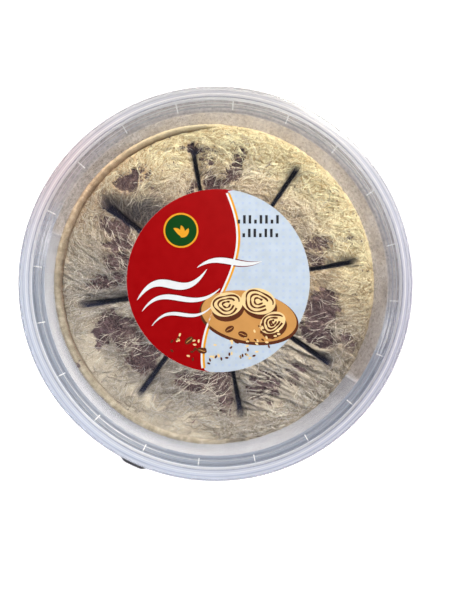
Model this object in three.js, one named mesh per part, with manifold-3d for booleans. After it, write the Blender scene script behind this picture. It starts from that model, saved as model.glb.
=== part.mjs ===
// A round tub of marbled halva: a clear tub with a press-on lid, a pressed cake
// of halva scored into eight portions, a round label on the lid and a paper
// band part of the way round the side.
//
// Millimetres, +Z up. The origin is the middle of the base, on the surface that
// the tub stands on, and +Y is the top of the lid label. Angles are in degrees,
// counterclockwise from +X as seen from above.

import * as THREE from "three";
import { mergeVertices } from "three/addons/utils/BufferGeometryUtils.js";
import Module from "manifold-3d";

const wasm = await Module();
wasm.setup();

// ---- driving dimensions ----

const height = 52; // overall, from the foot to the top of the lid's rim
const lidRadius = 59;
const plastic = 0.7; // wall thickness of the tub and of the lid
const fit = 0.45; // clearance where the lid goes over the tub's rim
const roundSegments = 60;

// tub
const footInner = 44.5;
const footOuter = 48.6;
const footLift = 0.8; // how far the middle of the base stands above the foot
const cornerRadius = 3.5; // from the foot into the wall
const wallDraft = Math.tan(THREE.MathUtils.degToRad(5));
const shoulderHeight = 43; // where the wall steps out to the rim

// lid
const rimWidth = 4.15; // from the skirt to the recess
const skirtDepth = 9;
const catchBead = 0.55; // ridge inside the skirt that catches under the tub's rim
const recessDepth = 5.5; // from the top of the rim down to the panel
const flights = [1.3, 1.35]; // the wall round the recess drops to a first ledge and a second
const ledge = 0.35; // their width
const ribCount = 20;
const ribFirstAngle = 12.5;
const ribThickness = 0.3;
const tabAngle = 245.3;
const tabSpan = 12.5; // degrees round the skirt
const tabReach = 1.8; // how far the lifting tab stands out of the skirt

// halva
const gap = 0.3; // between pieces that touch
const level = 31.5; // top of the cake, its bank and crown apart
const crownRise = 1.6; // middle of the cake above that
const scoreDepth = 6;
const scoreInner = 4; // the scores stop short of the middle
const scoreTaper = [0.35, 1.2]; // width at the inner and the outer end, as a share of the mouth
// Where each score runs out, how wide its mouth is, and how much the portions
// beside it slump into it, the one at greater angles first.
const scores = [
  { angle: 10, end: 48, mouth: 1.9, slumps: [1.5, 0.8] },
  { angle: 55.5, end: 47.5, mouth: 1.7, slumps: [1.2, 0.8] },
  { angle: 100, end: 46.5, mouth: 1.7, slumps: [0.8, 1] },
  { angle: 144, end: 47.5, mouth: 3.5, slumps: [0.7, 2.4] },
  { angle: 188, end: 47, mouth: 2.6, slumps: [0.7, 2] },
  { angle: 234.5, end: 45.8, mouth: 2, slumps: [1, 1] },
  { angle: 280.5, end: 45.2, mouth: 2.1, slumps: [1.4, 1.6] },
  { angle: 325.5, end: 47, mouth: 2.3, slumps: [2, 0.8] },
];
const brinkDip = 1.3; // the top sinks this far at the brink of a score
const brinkReach = 2.4;
const pillowDip = 1.3; // and this far more over the whole side of a portion
const pillowReach = 6.5;
const bankRise = 2.5; // the cake's edge is banked up against the wall
const bankTilt = 2.1; // more on one side and less on the other
const bankHighAngle = 145;
const bankWidth = 13;
const browRise = 0.6; // where the edge isn't a rope, the bank's top stands this far above it
const browDrop = 1.6; // and falls this far to the edge
const browWidth = 3.2;
const ropeStart = 92; // from here to the end the edge is pressed into a thick rope
const ropeEnd = 275;
const ropeLeast = 0.45; // width where it is thinnest
const ropeExtra = 1.1; // added where it is widest
const ropeWideAngle = 205;
const creaseDepth = 0.7; // along the foot of the rope
const creaseFades = [200, 232]; // between these angles it dies away
const cragHeight = 1.1;
const cragSize = 5.5;
const calmed = 0.6; // the share of the crags that is missing where the top is smoother
const cakeSideLevels = [22, 12]; // where the side's rings of points lie
const cakeSegments = 108;
const cakeRings = 15;

// labels
const paper = 0.2;
const lidLabelRadius = 28.3;
const lidLabelOffset = [0.7, 1.1];
const bandLabelTop = 42;
const bandLabelBottom = 9;
const bandLabelStart = 162.5;
const bandLabelEnd = 325;

// ---- worked out from those ----

const cornerTop = [footOuter + cornerRadius, cornerRadius];
const wallOuter = (z) => cornerTop[0] + (z - cornerTop[1]) * wallDraft;
const wallInner = (z) => wallOuter(z) - plastic;
const floorTop = footLift + plastic;
const skirtInner = lidRadius - plastic;
const recessRadius = lidRadius - rimWidth; // at the top of the recess
const panelTop = height - recessDepth;
const panelUnder = panelTop - plastic;
const plugRadius = recessRadius + plastic; // outside of the wall round the recess
const rimInner = plugRadius + fit; // inside of the tub's rim
const rimTop = height - plastic - fit;

const { degToRad } = THREE.MathUtils;

// ---- helpers ----

// Turns an outline of [radius, height] points about the Z axis. It starts and
// ends on the axis, or it closes on itself.
function turned(outline) {
  const onAxis = outline[0][0] === 0;
  const points = onAxis ? outline : [...outline, outline[0]];
  const profile = points.map(([r, z]) => new THREE.Vector2(r, z));
  return new THREE.LatheGeometry(profile, roundSegments).rotateX(Math.PI / 2);
}

// Points on a quarter of a circle or less, for a rounded corner in an outline.
function corner(r, z, radius, fromAngle, toAngle, steps) {
  return Array.from({ length: steps + 1 }, (_, i) => {
    const a = degToRad(fromAngle + ((toAngle - fromAngle) * i) / steps);
    return [r + radius * Math.cos(a), z + radius * Math.sin(a)];
  });
}

function solid(geometry) {
  const bare = geometry.clone();
  bare.deleteAttribute("normal");
  bare.deleteAttribute("uv");
  const merged = mergeVertices(bare, 1e-4);
  return new wasm.Manifold(
    new wasm.Mesh({
      numProp: 3,
      vertProperties: merged.attributes.position.array,
      triVerts: new Uint32Array(merged.index.array),
    }),
  );
}

function geometryOf(manifold) {
  const { vertProperties, triVerts } = manifold.getMesh();
  const geometry = new THREE.BufferGeometry();
  geometry.setAttribute("position", new THREE.BufferAttribute(vertProperties, 3));
  geometry.setIndex(new THREE.BufferAttribute(triVerts, 1));
  geometry.computeVertexNormals();
  return geometry;
}

function piece(name, geometry, look) {
  const mesh = new THREE.Mesh(geometry, new THREE.MeshStandardMaterial(look));
  mesh.name = name;
  return mesh;
}

// A number from 0 to 1 that is the same every time for a lattice point.
function lattice(i, j, seed) {
  let h = Math.imul(i, 374761393) ^ Math.imul(j, 668265263) ^ Math.imul(seed, 974634773);
  h = Math.imul(h ^ (h >>> 13), 1274126177);
  return ((h ^ (h >>> 16)) >>> 0) / 4294967295;
}

// Smooth noise from -1 to 1.
function noise(x, y, seed) {
  const i = Math.floor(x);
  const j = Math.floor(y);
  const u = THREE.MathUtils.smoothstep(x - i, 0, 1);
  const v = THREE.MathUtils.smoothstep(y - j, 0, 1);
  const near = THREE.MathUtils.lerp(lattice(i, j, seed), lattice(i + 1, j, seed), u);
  const far = THREE.MathUtils.lerp(lattice(i, j + 1, seed), lattice(i + 1, j + 1, seed), u);
  return 2 * THREE.MathUtils.lerp(near, far, v) - 1;
}

// ---- tub ----

function tub() {
  const foot = [
    [0, footLift],
    [footInner - footLift, footLift],
    [footInner, 0],
    ...corner(footOuter, cornerRadius, cornerRadius, -90, -5, 3),
  ];
  const rimOuter = rimInner + plastic;
  const outside = [
    [wallOuter(shoulderHeight), shoulderHeight],
    [rimOuter, shoulderHeight + 1.2],
    [rimOuter, rimTop - 1.1],
    [skirtInner - fit, rimTop - 0.7],
    [skirtInner - fit, rimTop - 0.2],
    [skirtInner - fit - 0.3, rimTop],
  ];
  const inside = [
    [rimInner, rimTop],
    [rimInner, shoulderHeight + 1.5],
    [wallInner(shoulderHeight), shoulderHeight + 0.3],
    ...corner(footOuter, cornerRadius + footLift, cornerRadius - plastic, -5, -90, 3),
    [0, floorTop],
  ];
  return turned([...foot, ...outside, ...inside]);
}

// ---- lid ----

// The wall round the recess with its ledges, from the rounded top to the panel.
function recessWall() {
  const lean = 0.15; // the wall slopes in by this much on each flight
  const bend = 0.35; // at the foot of the wall
  let [r, z] = [recessRadius, height - 0.6];
  const line = [[r, z]];
  for (const flight of flights) {
    line.push([r - lean, z - flight]);
    [r, z] = [r - lean - ledge, z - flight - 0.15];
    line.push([r, z]);
  }
  return [...line, [r - lean, panelTop + 0.4], [r - lean - bend, panelTop]];
}

function lidShell() {
  const edge = 0.8; // rounding of the rim's outer edge
  const skirtBottom = height - skirtDepth;
  const beadLevel = rimTop - 1.1 - catchBead - fit;
  return turned([
    [0, panelUnder],
    [plugRadius - 1.6, panelUnder],
    [plugRadius - 1.1, panelUnder + 0.5],
    [plugRadius, height - plastic - 0.4],
    [plugRadius + 0.3, height - plastic],
    [skirtInner - 0.5, height - plastic],
    [skirtInner, height - plastic - 0.7],
    [skirtInner, beadLevel + catchBead],
    [skirtInner - catchBead, beadLevel],
    [skirtInner, beadLevel - catchBead],
    [skirtInner, skirtBottom],
    [lidRadius, skirtBottom],
    ...corner(lidRadius - edge, height - edge, edge, 0, 90, 3),
    [recessRadius + 0.6, height],
    [recessRadius + 0.15, height - 0.2],
    ...recessWall(),
    [0, panelTop],
  ]);
}

// One of the short upright ribs that stiffen the wall round the recess.
function rib(angle) {
  const side = new THREE.Shape(
    [
      [recessRadius + 0.1, height - 0.7],
      [recessRadius - 0.5, height - 0.9],
      [recessRadius - 1.2, panelTop + 1.2],
      [recessRadius - 0.7, panelTop + 0.9],
    ].map(([r, z]) => new THREE.Vector2(r, z)),
  );
  return new THREE.ExtrudeGeometry(side, { depth: ribThickness, bevelEnabled: false })
    .translate(0, 0, -ribThickness / 2)
    .rotateX(Math.PI / 2)
    .rotateZ(degToRad(angle));
}

// The small lip under the rim that a thumb lifts the lid by: a low bulge that
// follows the skirt.
function liftingTab() {
  const thickness = 0.9;
  const steps = 12;
  const half = tabSpan / 2;
  const place = (r, turn) => new THREE.Vector2(r * Math.cos(degToRad(turn)), r * Math.sin(degToRad(turn)));
  const turns = Array.from({ length: steps + 1 }, (_, i) => half - (tabSpan * i) / steps);
  const root = turns.map((turn) => place(lidRadius - plastic / 2, turn));
  const tip = turns.slice(1, -1).reverse().map((turn) => {
    const out = 1 - THREE.MathUtils.smoothstep(Math.abs(turn), 0.35 * half, half);
    return place(lidRadius + tabReach * out, turn);
  });
  const outline = new THREE.Shape([...root, ...tip]);
  return new THREE.ExtrudeGeometry(outline, { depth: thickness, bevelEnabled: false })
    .translate(0, 0, height - 4)
    .rotateZ(degToRad(tabAngle));
}

function lid() {
  const angles = Array.from({ length: ribCount }, (_, i) => ribFirstAngle + (360 / ribCount) * i);
  const parts = [lidShell(), liftingTab(), ...angles.map(rib)].map(solid);
  return geometryOf(parts.reduce((whole, part) => whole.add(part)));
}

// ---- halva ----

// How far the top sinks beside the nearest score, so that each portion is a
// low pillow.
function dipByScores(r, angle) {
  const offset = (score) => ((angle - score.angle + 540) % 360) - 180;
  const nearest = scores.reduce((a, b) => (Math.abs(offset(b)) < Math.abs(offset(a)) ? b : a));
  const off = offset(nearest);
  const slump = nearest.slumps[off > 0 ? 0 : 1];
  const distance = r * Math.sin(degToRad(Math.abs(off)));
  const reach = brinkReach * (0.6 + 0.4 * slump);
  const brink = brinkDip * slump * Math.exp(-((distance / reach) ** 2));
  const pillow = pillowDip * Math.exp(-((distance / pillowReach) ** 2));
  const past = THREE.MathUtils.smoothstep(r, nearest.end - 3, nearest.end + 2);
  return (brink + pillow) * (1 - past);
}

function bankHeight(angle) {
  return bankRise + bankTilt * Math.cos(degToRad(angle - bankHighAngle));
}

// 1 where the edge is a rope, 0 where it isn't.
function ropeShare(angle) {
  const { smoothstep } = THREE.MathUtils;
  const begun = smoothstep(angle, ropeStart - 8, ropeStart + 10);
  return begun * (1 - smoothstep(angle, ropeEnd - 14, ropeEnd + 8));
}

function ropeWidth(angle) {
  const wide = 0.5 + 0.5 * Math.cos(degToRad(angle - ropeWideAngle));
  return ropeLeast + ropeExtra * wide ** 1.4;
}

function crags(x, y) {
  const coarse = noise(x / cragSize, y / cragSize, 11);
  const fine = noise((2.3 * x) / cragSize, (2.3 * y) / cragSize, 12);
  return cragHeight * (0.6 * coarse + 0.4 * fine);
}

// 1 where the top is smoother: the long folds at the lower right, the band
// outside the lower left scores, and the edge at the upper right.
function calmness(r, angle) {
  const { smoothstep } = THREE.MathUtils;
  const folds = smoothstep(angle, 279, 291) * (1 - smoothstep(angle, 328, 336)) * (1 - smoothstep(r, 43, 50));
  const band = smoothstep(angle, 185, 205) * (1 - smoothstep(angle, 262, 280)) * smoothstep(r, 40, 44);
  const edge = smoothstep(r, 36, 48) * smoothstep(Math.cos(degToRad(angle - 62)), -0.15, 0.65);
  return Math.max(folds, band, edge);
}

// The top of the cake: a low crown that sinks beside each score, rough flakes,
// the bank up to the wall, and the rope along it with its crease.
function topOfCake(r, angle, edge) {
  const { smoothstep } = THREE.MathUtils;
  const x = r * Math.cos(degToRad(angle));
  const y = r * Math.sin(degToRad(angle));
  const crown = crownRise * (1 - (r / edge) ** 2);
  const dip = dipByScores(r, angle);
  const inner = 1 - 0.75 * smoothstep(r, edge - 7, edge - 4);
  const rough = crags(x, y) * inner * (1 - calmed * calmness(r, angle));
  const rope = ropeShare(angle);
  const width = ropeWidth(angle);
  const foot = edge - width;
  const rise = bankHeight(angle);
  const bank = smoothstep(r, edge - bankWidth, edge - 0.4);
  const step = smoothstep(r, foot, foot + 0.5 * width);
  const brow = smoothstep(r, edge - bankWidth, edge - browWidth);
  const raised = rope * rise * (0.55 * step + 0.45 * bank) + (1 - rope) * (rise + browRise) * brow;
  const lasting = 1 - 0.85 * smoothstep(angle, ...creaseFades);
  const crease = creaseDepth * rope * lasting * Math.exp(-(((r - foot + 0.15) / 0.26) ** 2));
  const rounded = browDrop * (1 - rope) * Math.max(0, (r - edge + browWidth) / browWidth) ** 2;
  return level + crown - dip + rough + raised - crease - rounded;
}

function cakeBody() {
  const cakeRadius = (z) => wallInner(z) - gap;
  const flatRadius = cakeRadius(level) - ropeLeast - ropeExtra - 1.6;
  const positions = [];
  const rings = [];
  const ring = (place) => {
    rings.push(positions.length / 3);
    for (let k = 0; k < cakeSegments; k++) {
      const angle = (360 * k) / cakeSegments;
      const { r, z } = place(angle);
      positions.push(r * Math.cos(degToRad(angle)), r * Math.sin(degToRad(angle)), z);
    }
  };

  for (let i = 1; i <= cakeRings; i++) {
    ring((angle) => {
      const edge = cakeRadius(level + bankHeight(angle));
      const r = flatRadius * (i / cakeRings) ** 0.85; // closer together further out
      return { r, z: topOfCake(r, angle, edge) };
    });
  }
  for (const [share, extra] of [[1, 1.2], [1, 0.5], [1, 0.15], [0.85, 0], [0.45, 0], [0, 0]]) {
    ring((angle) => {
      const edge = cakeRadius(level + bankHeight(angle));
      const r = edge - share * ropeWidth(angle) - extra;
      return { r, z: topOfCake(r, angle, edge) };
    });
  }
  for (const z of cakeSideLevels) {
    ring(() => ({ r: cakeRadius(z), z }));
  }
  const base = floorTop + gap;
  const bend = cornerRadius - plastic - gap;
  for (const [r, z] of corner(footOuter, base + bend, bend, -5, -90, 2)) {
    ring(() => ({ r, z }));
  }

  const triangles = [];
  const top = positions.length / 3;
  positions.push(0, 0, topOfCake(0, 0, cakeRadius(level)));
  const bottom = top + 1;
  positions.push(0, 0, base);
  for (let k = 0; k < cakeSegments; k++) {
    const next = (k + 1) % cakeSegments;
    triangles.push(top, rings[0] + k, rings[0] + next);
    for (let i = 1; i < rings.length; i++) {
      const [a, b] = [rings[i - 1] + k, rings[i - 1] + next];
      const [c, d] = [rings[i] + k, rings[i] + next];
      triangles.push(a, c, d, a, d, b);
    }
    const last = rings[rings.length - 1];
    triangles.push(bottom, last + next, last + k);
  }
  const geometry = new THREE.BufferGeometry();
  geometry.setAttribute("position", new THREE.Float32BufferAttribute(positions, 3));
  return geometry.setIndex(triangles);
}

// The blade that presses one score: a long box drawn in to a thin edge at the
// bottom and narrower towards the middle of the cake, with its outer end
// sloping up and out of the cake.
function blade({ angle, end, mouth }) {
  const bottom = level - scoreDepth;
  const top = level + scoreDepth;
  const edgeHalf = 0.25;
  const spread = (mouth / 2 - edgeHalf) / scoreDepth;
  const endSlope = 0.55;
  const box = new THREE.BoxGeometry(1, 1, 1);
  const corners = box.attributes.position;
  for (let i = 0; i < corners.count; i++) {
    const z = corners.getZ(i) > 0 ? top : bottom;
    const outer = corners.getX(i) > 0;
    const half = (edgeHalf + (z - bottom) * spread) * scoreTaper[outer ? 1 : 0];
    const x = outer ? end + (z - level) * endSlope : scoreInner;
    corners.setXYZ(i, x, Math.sign(corners.getY(i)) * half, z);
  }
  return box.rotateZ(degToRad(angle));
}

function halva() {
  const scored = scores.reduce((cake, s) => cake.subtract(solid(blade(s))), solid(cakeBody()));
  return geometryOf(scored);
}

// ---- labels ----

function lidLabel() {
  const clearance = 0.1;
  return new THREE.CylinderGeometry(lidLabelRadius, lidLabelRadius, paper, roundSegments)
    .rotateX(Math.PI / 2)
    .translate(...lidLabelOffset, panelTop + clearance + paper / 2);
}

// The paper band lies on the sloping wall, so it is part of a cone.
function bandLabel() {
  const clearance = 0.15;
  const steps = 40;
  const levels = [bandLabelBottom, (bandLabelBottom + bandLabelTop) / 2, bandLabelTop];
  const section = [
    ...levels.map((z) => [wallOuter(z) + clearance + paper, z]),
    ...levels.reverse().map((z) => [wallOuter(z) + clearance, z]),
  ];
  const positions = [];
  for (let i = 0; i <= steps; i++) {
    const a = degToRad(bandLabelStart + ((bandLabelEnd - bandLabelStart) * i) / steps);
    section.forEach(([r, z]) => positions.push(r * Math.cos(a), r * Math.sin(a), z));
  }
  const n = section.length;
  const triangles = [];
  for (let i = 0; i < steps; i++) {
    for (let j = 0; j < n; j++) {
      const [a, b] = [i * n + j, i * n + ((j + 1) % n)];
      triangles.push(a, a + n, b + n, a, b + n, b);
    }
  }
  for (let j = 1; j < n - 1; j++) {
    triangles.push(0, j, j + 1);
    triangles.push(steps * n, steps * n + j + 1, steps * n + j);
  }
  const geometry = new THREE.BufferGeometry();
  geometry.setAttribute("position", new THREE.Float32BufferAttribute(positions, 3));
  return geometry.setIndex(triangles);
}

// ---- the whole pack ----

const clear = { color: 0xe2e4ec, roughness: 0.18, metalness: 0, transparent: true, opacity: 0.35 };
const pack = new THREE.Group();
pack.add(
  piece("tub", tub(), clear),
  piece("lid", lid(), clear),
  piece("halva", halva(), { color: 0xcfc0a4, roughness: 0.85, metalness: 0 }),
  piece("lid_label", lidLabel(), { color: 0xb01218, roughness: 0.4, metalness: 0 }),
  piece("band_label", bandLabel(), { color: 0xf0eee8, roughness: 0.6, metalness: 0 }),
);

export default pack;
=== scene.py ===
import math

import bpy
import numpy as np
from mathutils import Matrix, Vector


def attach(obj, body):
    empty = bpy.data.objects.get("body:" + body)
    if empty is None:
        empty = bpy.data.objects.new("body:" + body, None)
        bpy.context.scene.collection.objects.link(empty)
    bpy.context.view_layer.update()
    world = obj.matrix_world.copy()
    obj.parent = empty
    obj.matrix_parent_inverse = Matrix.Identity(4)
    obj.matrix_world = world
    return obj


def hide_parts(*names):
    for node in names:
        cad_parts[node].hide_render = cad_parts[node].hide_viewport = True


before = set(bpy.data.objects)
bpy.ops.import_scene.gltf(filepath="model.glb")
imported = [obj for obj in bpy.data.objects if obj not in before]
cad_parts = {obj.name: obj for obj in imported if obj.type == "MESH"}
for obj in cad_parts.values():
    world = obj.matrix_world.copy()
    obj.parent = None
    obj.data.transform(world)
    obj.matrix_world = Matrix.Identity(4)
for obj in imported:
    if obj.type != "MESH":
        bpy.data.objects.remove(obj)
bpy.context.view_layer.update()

mm = 0.001               # shapes are worked out in millimetres and scaled as their mesh is made
rng = np.random.default_rng(1407)
scene = bpy.context.scene
scene.view_settings.view_transform = "Standard"


# shapes

def smooth(x, low, high):
    t = np.clip((x - low) / (high - low), 0, 1)
    return t * t * (3 - 2 * t)


def within(x, rise, fall):  # 1 inside a stretch, with soft ends
    return smooth(x, *rise) * (1 - smooth(x, *fall))


def lattice(i, j, seed):  # the same number from 0 to 1 every time for a lattice point
    full = 0xFFFFFFFF
    h = ((i * 374761393) ^ (j * 668265263) ^ (seed * 974634773)) & full
    h = ((h ^ (h >> 13)) * 1274126177) & full
    return (h ^ (h >> 16)) / full


def noise(x, y, seed):    # smooth, from -1 to 1
    x, y = np.broadcast_arrays(np.asarray(x, float), np.asarray(y, float))
    i, j = np.floor(x).astype(np.int64), np.floor(y).astype(np.int64)
    u, v = smooth(x - i, 0, 1), smooth(y - j, 0, 1)
    near = lattice(i, j, seed) * (1 - u) + lattice(i + 1, j, seed) * u
    far = lattice(i, j + 1, seed) * (1 - u) + lattice(i + 1, j + 1, seed) * u
    return 2 * (near * (1 - v) + far * v) - 1


def layered(x, y, seed, layers=3):
    total = sum(noise(x * 2.03 ** k, y * 2.03 ** k, seed + k) / 2 ** k for k in range(layers))
    return total / sum(1 / 2 ** k for k in range(layers))


def arc(r, z, radius, fromAngle, toAngle, steps):
    angles = np.radians(np.linspace(fromAngle, toAngle, steps + 1))
    return [(r + radius * math.cos(a), z + radius * math.sin(a)) for a in angles]


def eased(outline, radius, steps=4):  # rounds the corners of an outline
    done = [outline[0]]
    for before, at, after in zip(outline, outline[1:], outline[2:]):
        before, at, after = np.array(before), np.array(at), np.array(after)
        back, on = before - at, after - at
        cut = min(radius, 0.45 * np.linalg.norm(back), 0.45 * np.linalg.norm(on))
        start = at + back / np.linalg.norm(back) * cut
        end = at + on / np.linalg.norm(on) * cut
        for t in np.linspace(0, 1, steps):
            done.append(tuple((1 - t) ** 2 * start + 2 * t * (1 - t) * at + t * t * end))
    return done + [outline[-1]]


def newPiece(name, points, faces, sharpAngle=40):
    mesh = bpy.data.meshes.new(name)
    mesh.from_pydata((np.asarray(points) * mm).tolist(), [], faces)
    mesh.update()
    mesh.shade_smooth()
    mesh.set_sharp_from_angle(angle=math.radians(sharpAngle))
    piece = bpy.data.objects.new(name, mesh)
    scene.collection.objects.link(piece)
    return piece


def turned(name, outline, segments, sharpAngle=40):
    angles = np.linspace(0, 2 * math.pi, segments, endpoint=False)
    points, rows, faces = [], [], []
    for r, z in outline:
        if r < 1e-6:
            rows.append([len(points)] * segments)
            points.append((0, 0, z))
        else:
            rows.append(list(range(len(points), len(points) + segments)))
            points += [(r * math.cos(a), r * math.sin(a), z) for a in angles]
    for low, high in zip(rows, rows[1:]):
        for k in range(segments):
            n = (k + 1) % segments
            faces.append(list(dict.fromkeys([low[k], low[n], high[n], high[k]])))
    return newPiece(name, points, faces, sharpAngle)


def combine(piece, other, operation, sharpAngle=40):  # a boolean that is applied at once
    step = piece.modifiers.new("step", "BOOLEAN")
    step.operation = operation
    step.solver = "MANIFOLD"
    step.object = other
    fresh = bpy.data.meshes.new_from_object(piece.evaluated_get(bpy.context.evaluated_depsgraph_get()))
    piece.modifiers.clear()
    piece.data = fresh
    fresh.name = piece.name
    fresh.materials.clear()
    fresh.shade_smooth()
    fresh.set_sharp_from_angle(angle=math.radians(sharpAngle))
    bpy.data.objects.remove(other)


def gridFaces(rows, columns):  # between rows of points, each row closed on itself
    a = np.arange((rows - 1) * columns).reshape(rows - 1, columns)
    b = np.roll(a, -1, axis=1)
    return np.stack([a, a + columns, b + columns, b], axis=-1).reshape(-1, 4).tolist()


def loftFaces(rings, n):      # the same, with a face over each end
    last = (rings - 1) * n
    return gridFaces(rings, n) + [list(range(n)), list(range(last, last + n))[::-1]]


def upright(corners, low, high):  # points and faces of an upright block over a flat outline
    n = len(corners)
    points = [(x, y, z) for z in (low, high) for x, y in corners]
    faces = [list(range(n))[::-1], list(range(n, 2 * n))]
    faces += [[k, (k + 1) % n, n + (k + 1) % n, n + k] for k in range(n)]
    return points, faces


def spin(points, degrees):    # about the Z axis
    a = math.radians(degrees)
    p = np.asarray(points, float).copy()
    x, y = p[..., 0].copy(), p[..., 1].copy()
    p[..., 0] = x * math.cos(a) - y * math.sin(a)
    p[..., 1] = x * math.sin(a) + y * math.cos(a)
    return p


# finishes

def newMaterial(name):
    made = bpy.data.materials.new(name)
    made.use_nodes = True
    made.node_tree.nodes.clear()
    return made, made.node_tree


def add(tree, kind, sockets=None, **settings):
    made = tree.nodes.new("ShaderNode" + kind)
    for key, value in settings.items():
        setattr(made, key, value)
    for key, value in (sockets or {}).items():
        if isinstance(value, bpy.types.NodeSocket):
            tree.links.new(value, made.inputs[key])
        else:
            made.inputs[key].default_value = value
    return made


def maths(tree, operation, a, b=0.0, c=0.0, clamp=False):
    return add(tree, "Math", {0: a, 1: b, 2: c}, operation=operation, use_clamp=clamp).outputs[0]


def times(tree, a, b, clamp=False):
    return maths(tree, "MULTIPLY", a, b, clamp=clamp)


def plus(tree, a, b, clamp=False):
    return maths(tree, "ADD", a, b, clamp=clamp)


def most(tree, a, b):
    return maths(tree, "MAXIMUM", a, b)


def vectors(tree, operation, *values, output="Vector"):
    return add(tree, "VectorMath", dict(enumerate(values)), operation=operation).outputs[output]


def cloudy(tree, place, scale, detail, **more):  # soft noise
    return add(tree, "TexNoise", {"Vector": place, "Scale": scale, "Detail": detail, **more}).outputs[0]


def told(tree, name, output="Fac"):  # a value that the mesh carries
    return add(tree, "Attribute", attribute_name=name).outputs[output]


def mixShaders(tree, share, a, b):
    return add(tree, "MixShader", {0: share, 1: a.outputs[0], 2: b.outputs[0]})


def mixColour(tree, share, a, b, mode="MIX"):
    return add(tree, "Mix", {0: share, 6: a, 7: b}, data_type="RGBA", blend_type=mode).outputs[2]


def ramp(tree, value, low, high, fromValue=0.0, toValue=1.0):
    return add(tree, "MapRange", {0: value, 1: low, 2: high, 3: fromValue, 4: toValue}).outputs[0]


def show(tree, shader):
    add(tree, "OutputMaterial", {"Surface": shader.outputs[0]})


def paint(*rgb):  # a colour as picked on screen, 0 to 255
    def line(c):
        c /= 255
        return c / 12.92 if c <= 0.04045 else ((c + 0.055) / 1.055) ** 2.4
    return (*(line(c) for c in rgb), 1.0)


# clear plastic

plastic = {
    "bend": 1.49,
    "tint": paint(250, 250, 252),
    "roughness": 0.05,
    "milkRoughness": 0.2,
    "through": 0.45,         # how much of the milky part lets light through
    "shadow": (0.975, 0.975, 0.975, 1.0),  # the light that a wall lets past
    "milk": paint(200, 208, 225),
    "milkLightSideTint": paint(173, 174, 182),  # painted tint on the light's side; milkPink and milkViolet are painted tints at other angles
    "milkPink": paint(202, 189, 198),
    "milkViolet": paint(176, 178, 198),
    "line": paint(252, 252, 250),    # painted highlights on edges, ribs, ledges and rim lines
    "lineShade": paint(132, 136, 152),
    "film": paint(174, 165, 158),    # halva fat on the tub's wall above the cake; its grey tone is partly painted shade
    "filmLit": paint(188, 178, 167),  # the same, painted lighter where the light comes through it
    "shade": paint(86, 95, 112),     # painted shade on the steps inside the lid's rim, with shadeLit between its dark bands
    "shadeLit": paint(132, 142, 160),
    "deep": paint(20, 20, 24),       # painted shadow on top of the lifting tab
    "turning": 2200.0,       # scale of the faint marks that run round it
    "clouds": 130.0,         # and of its clouds
    "filmGrain": 900.0,      # and of the film's grain and specks
    "filmSpecks": 1500.0,
    "drawn": (1, 1, 0.65),   # the film is drawn out up the wall
}

# painted highlight and shade lines round the lid's rim, standing in for its reflections: radius, half width
# and strength, below 0 for the dark ones
rimLines = [(55.62, 0.36, -0.9), (56.1, 0.2, 0.3), (56.5, 0.3, 0.6), (57.3, 0.32, -0.5), (57.75, 0.2, 0.2)]
litLines = [(58.15, 0.4, 0.5)]  # painted highlight only on the light's side
stepBands = [(50.35, 0.75, 0.9), (47.5, 1.0, 0.95)]  # painted dark bands of shade on the steps: height, half width, strength


def pulse(tree, value, at, wide):  # 1 at that value and 0 away from it
    off = maths(tree, "ABSOLUTE", maths(tree, "SUBTRACT", value, at * mm))
    return add(tree, "MapRange", {0: off, 1: 0.0, 2: wide * mm, 3: 1.0, 4: 0.0},
               interpolation_type="SMOOTHSTEP").outputs[0]


def pulses(tree, value, rows):
    total = 0.0
    for at, wide, strength in rows:
        total = maths(tree, "MULTIPLY_ADD", pulse(tree, value, at, wide), strength, total)
    return total


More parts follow.
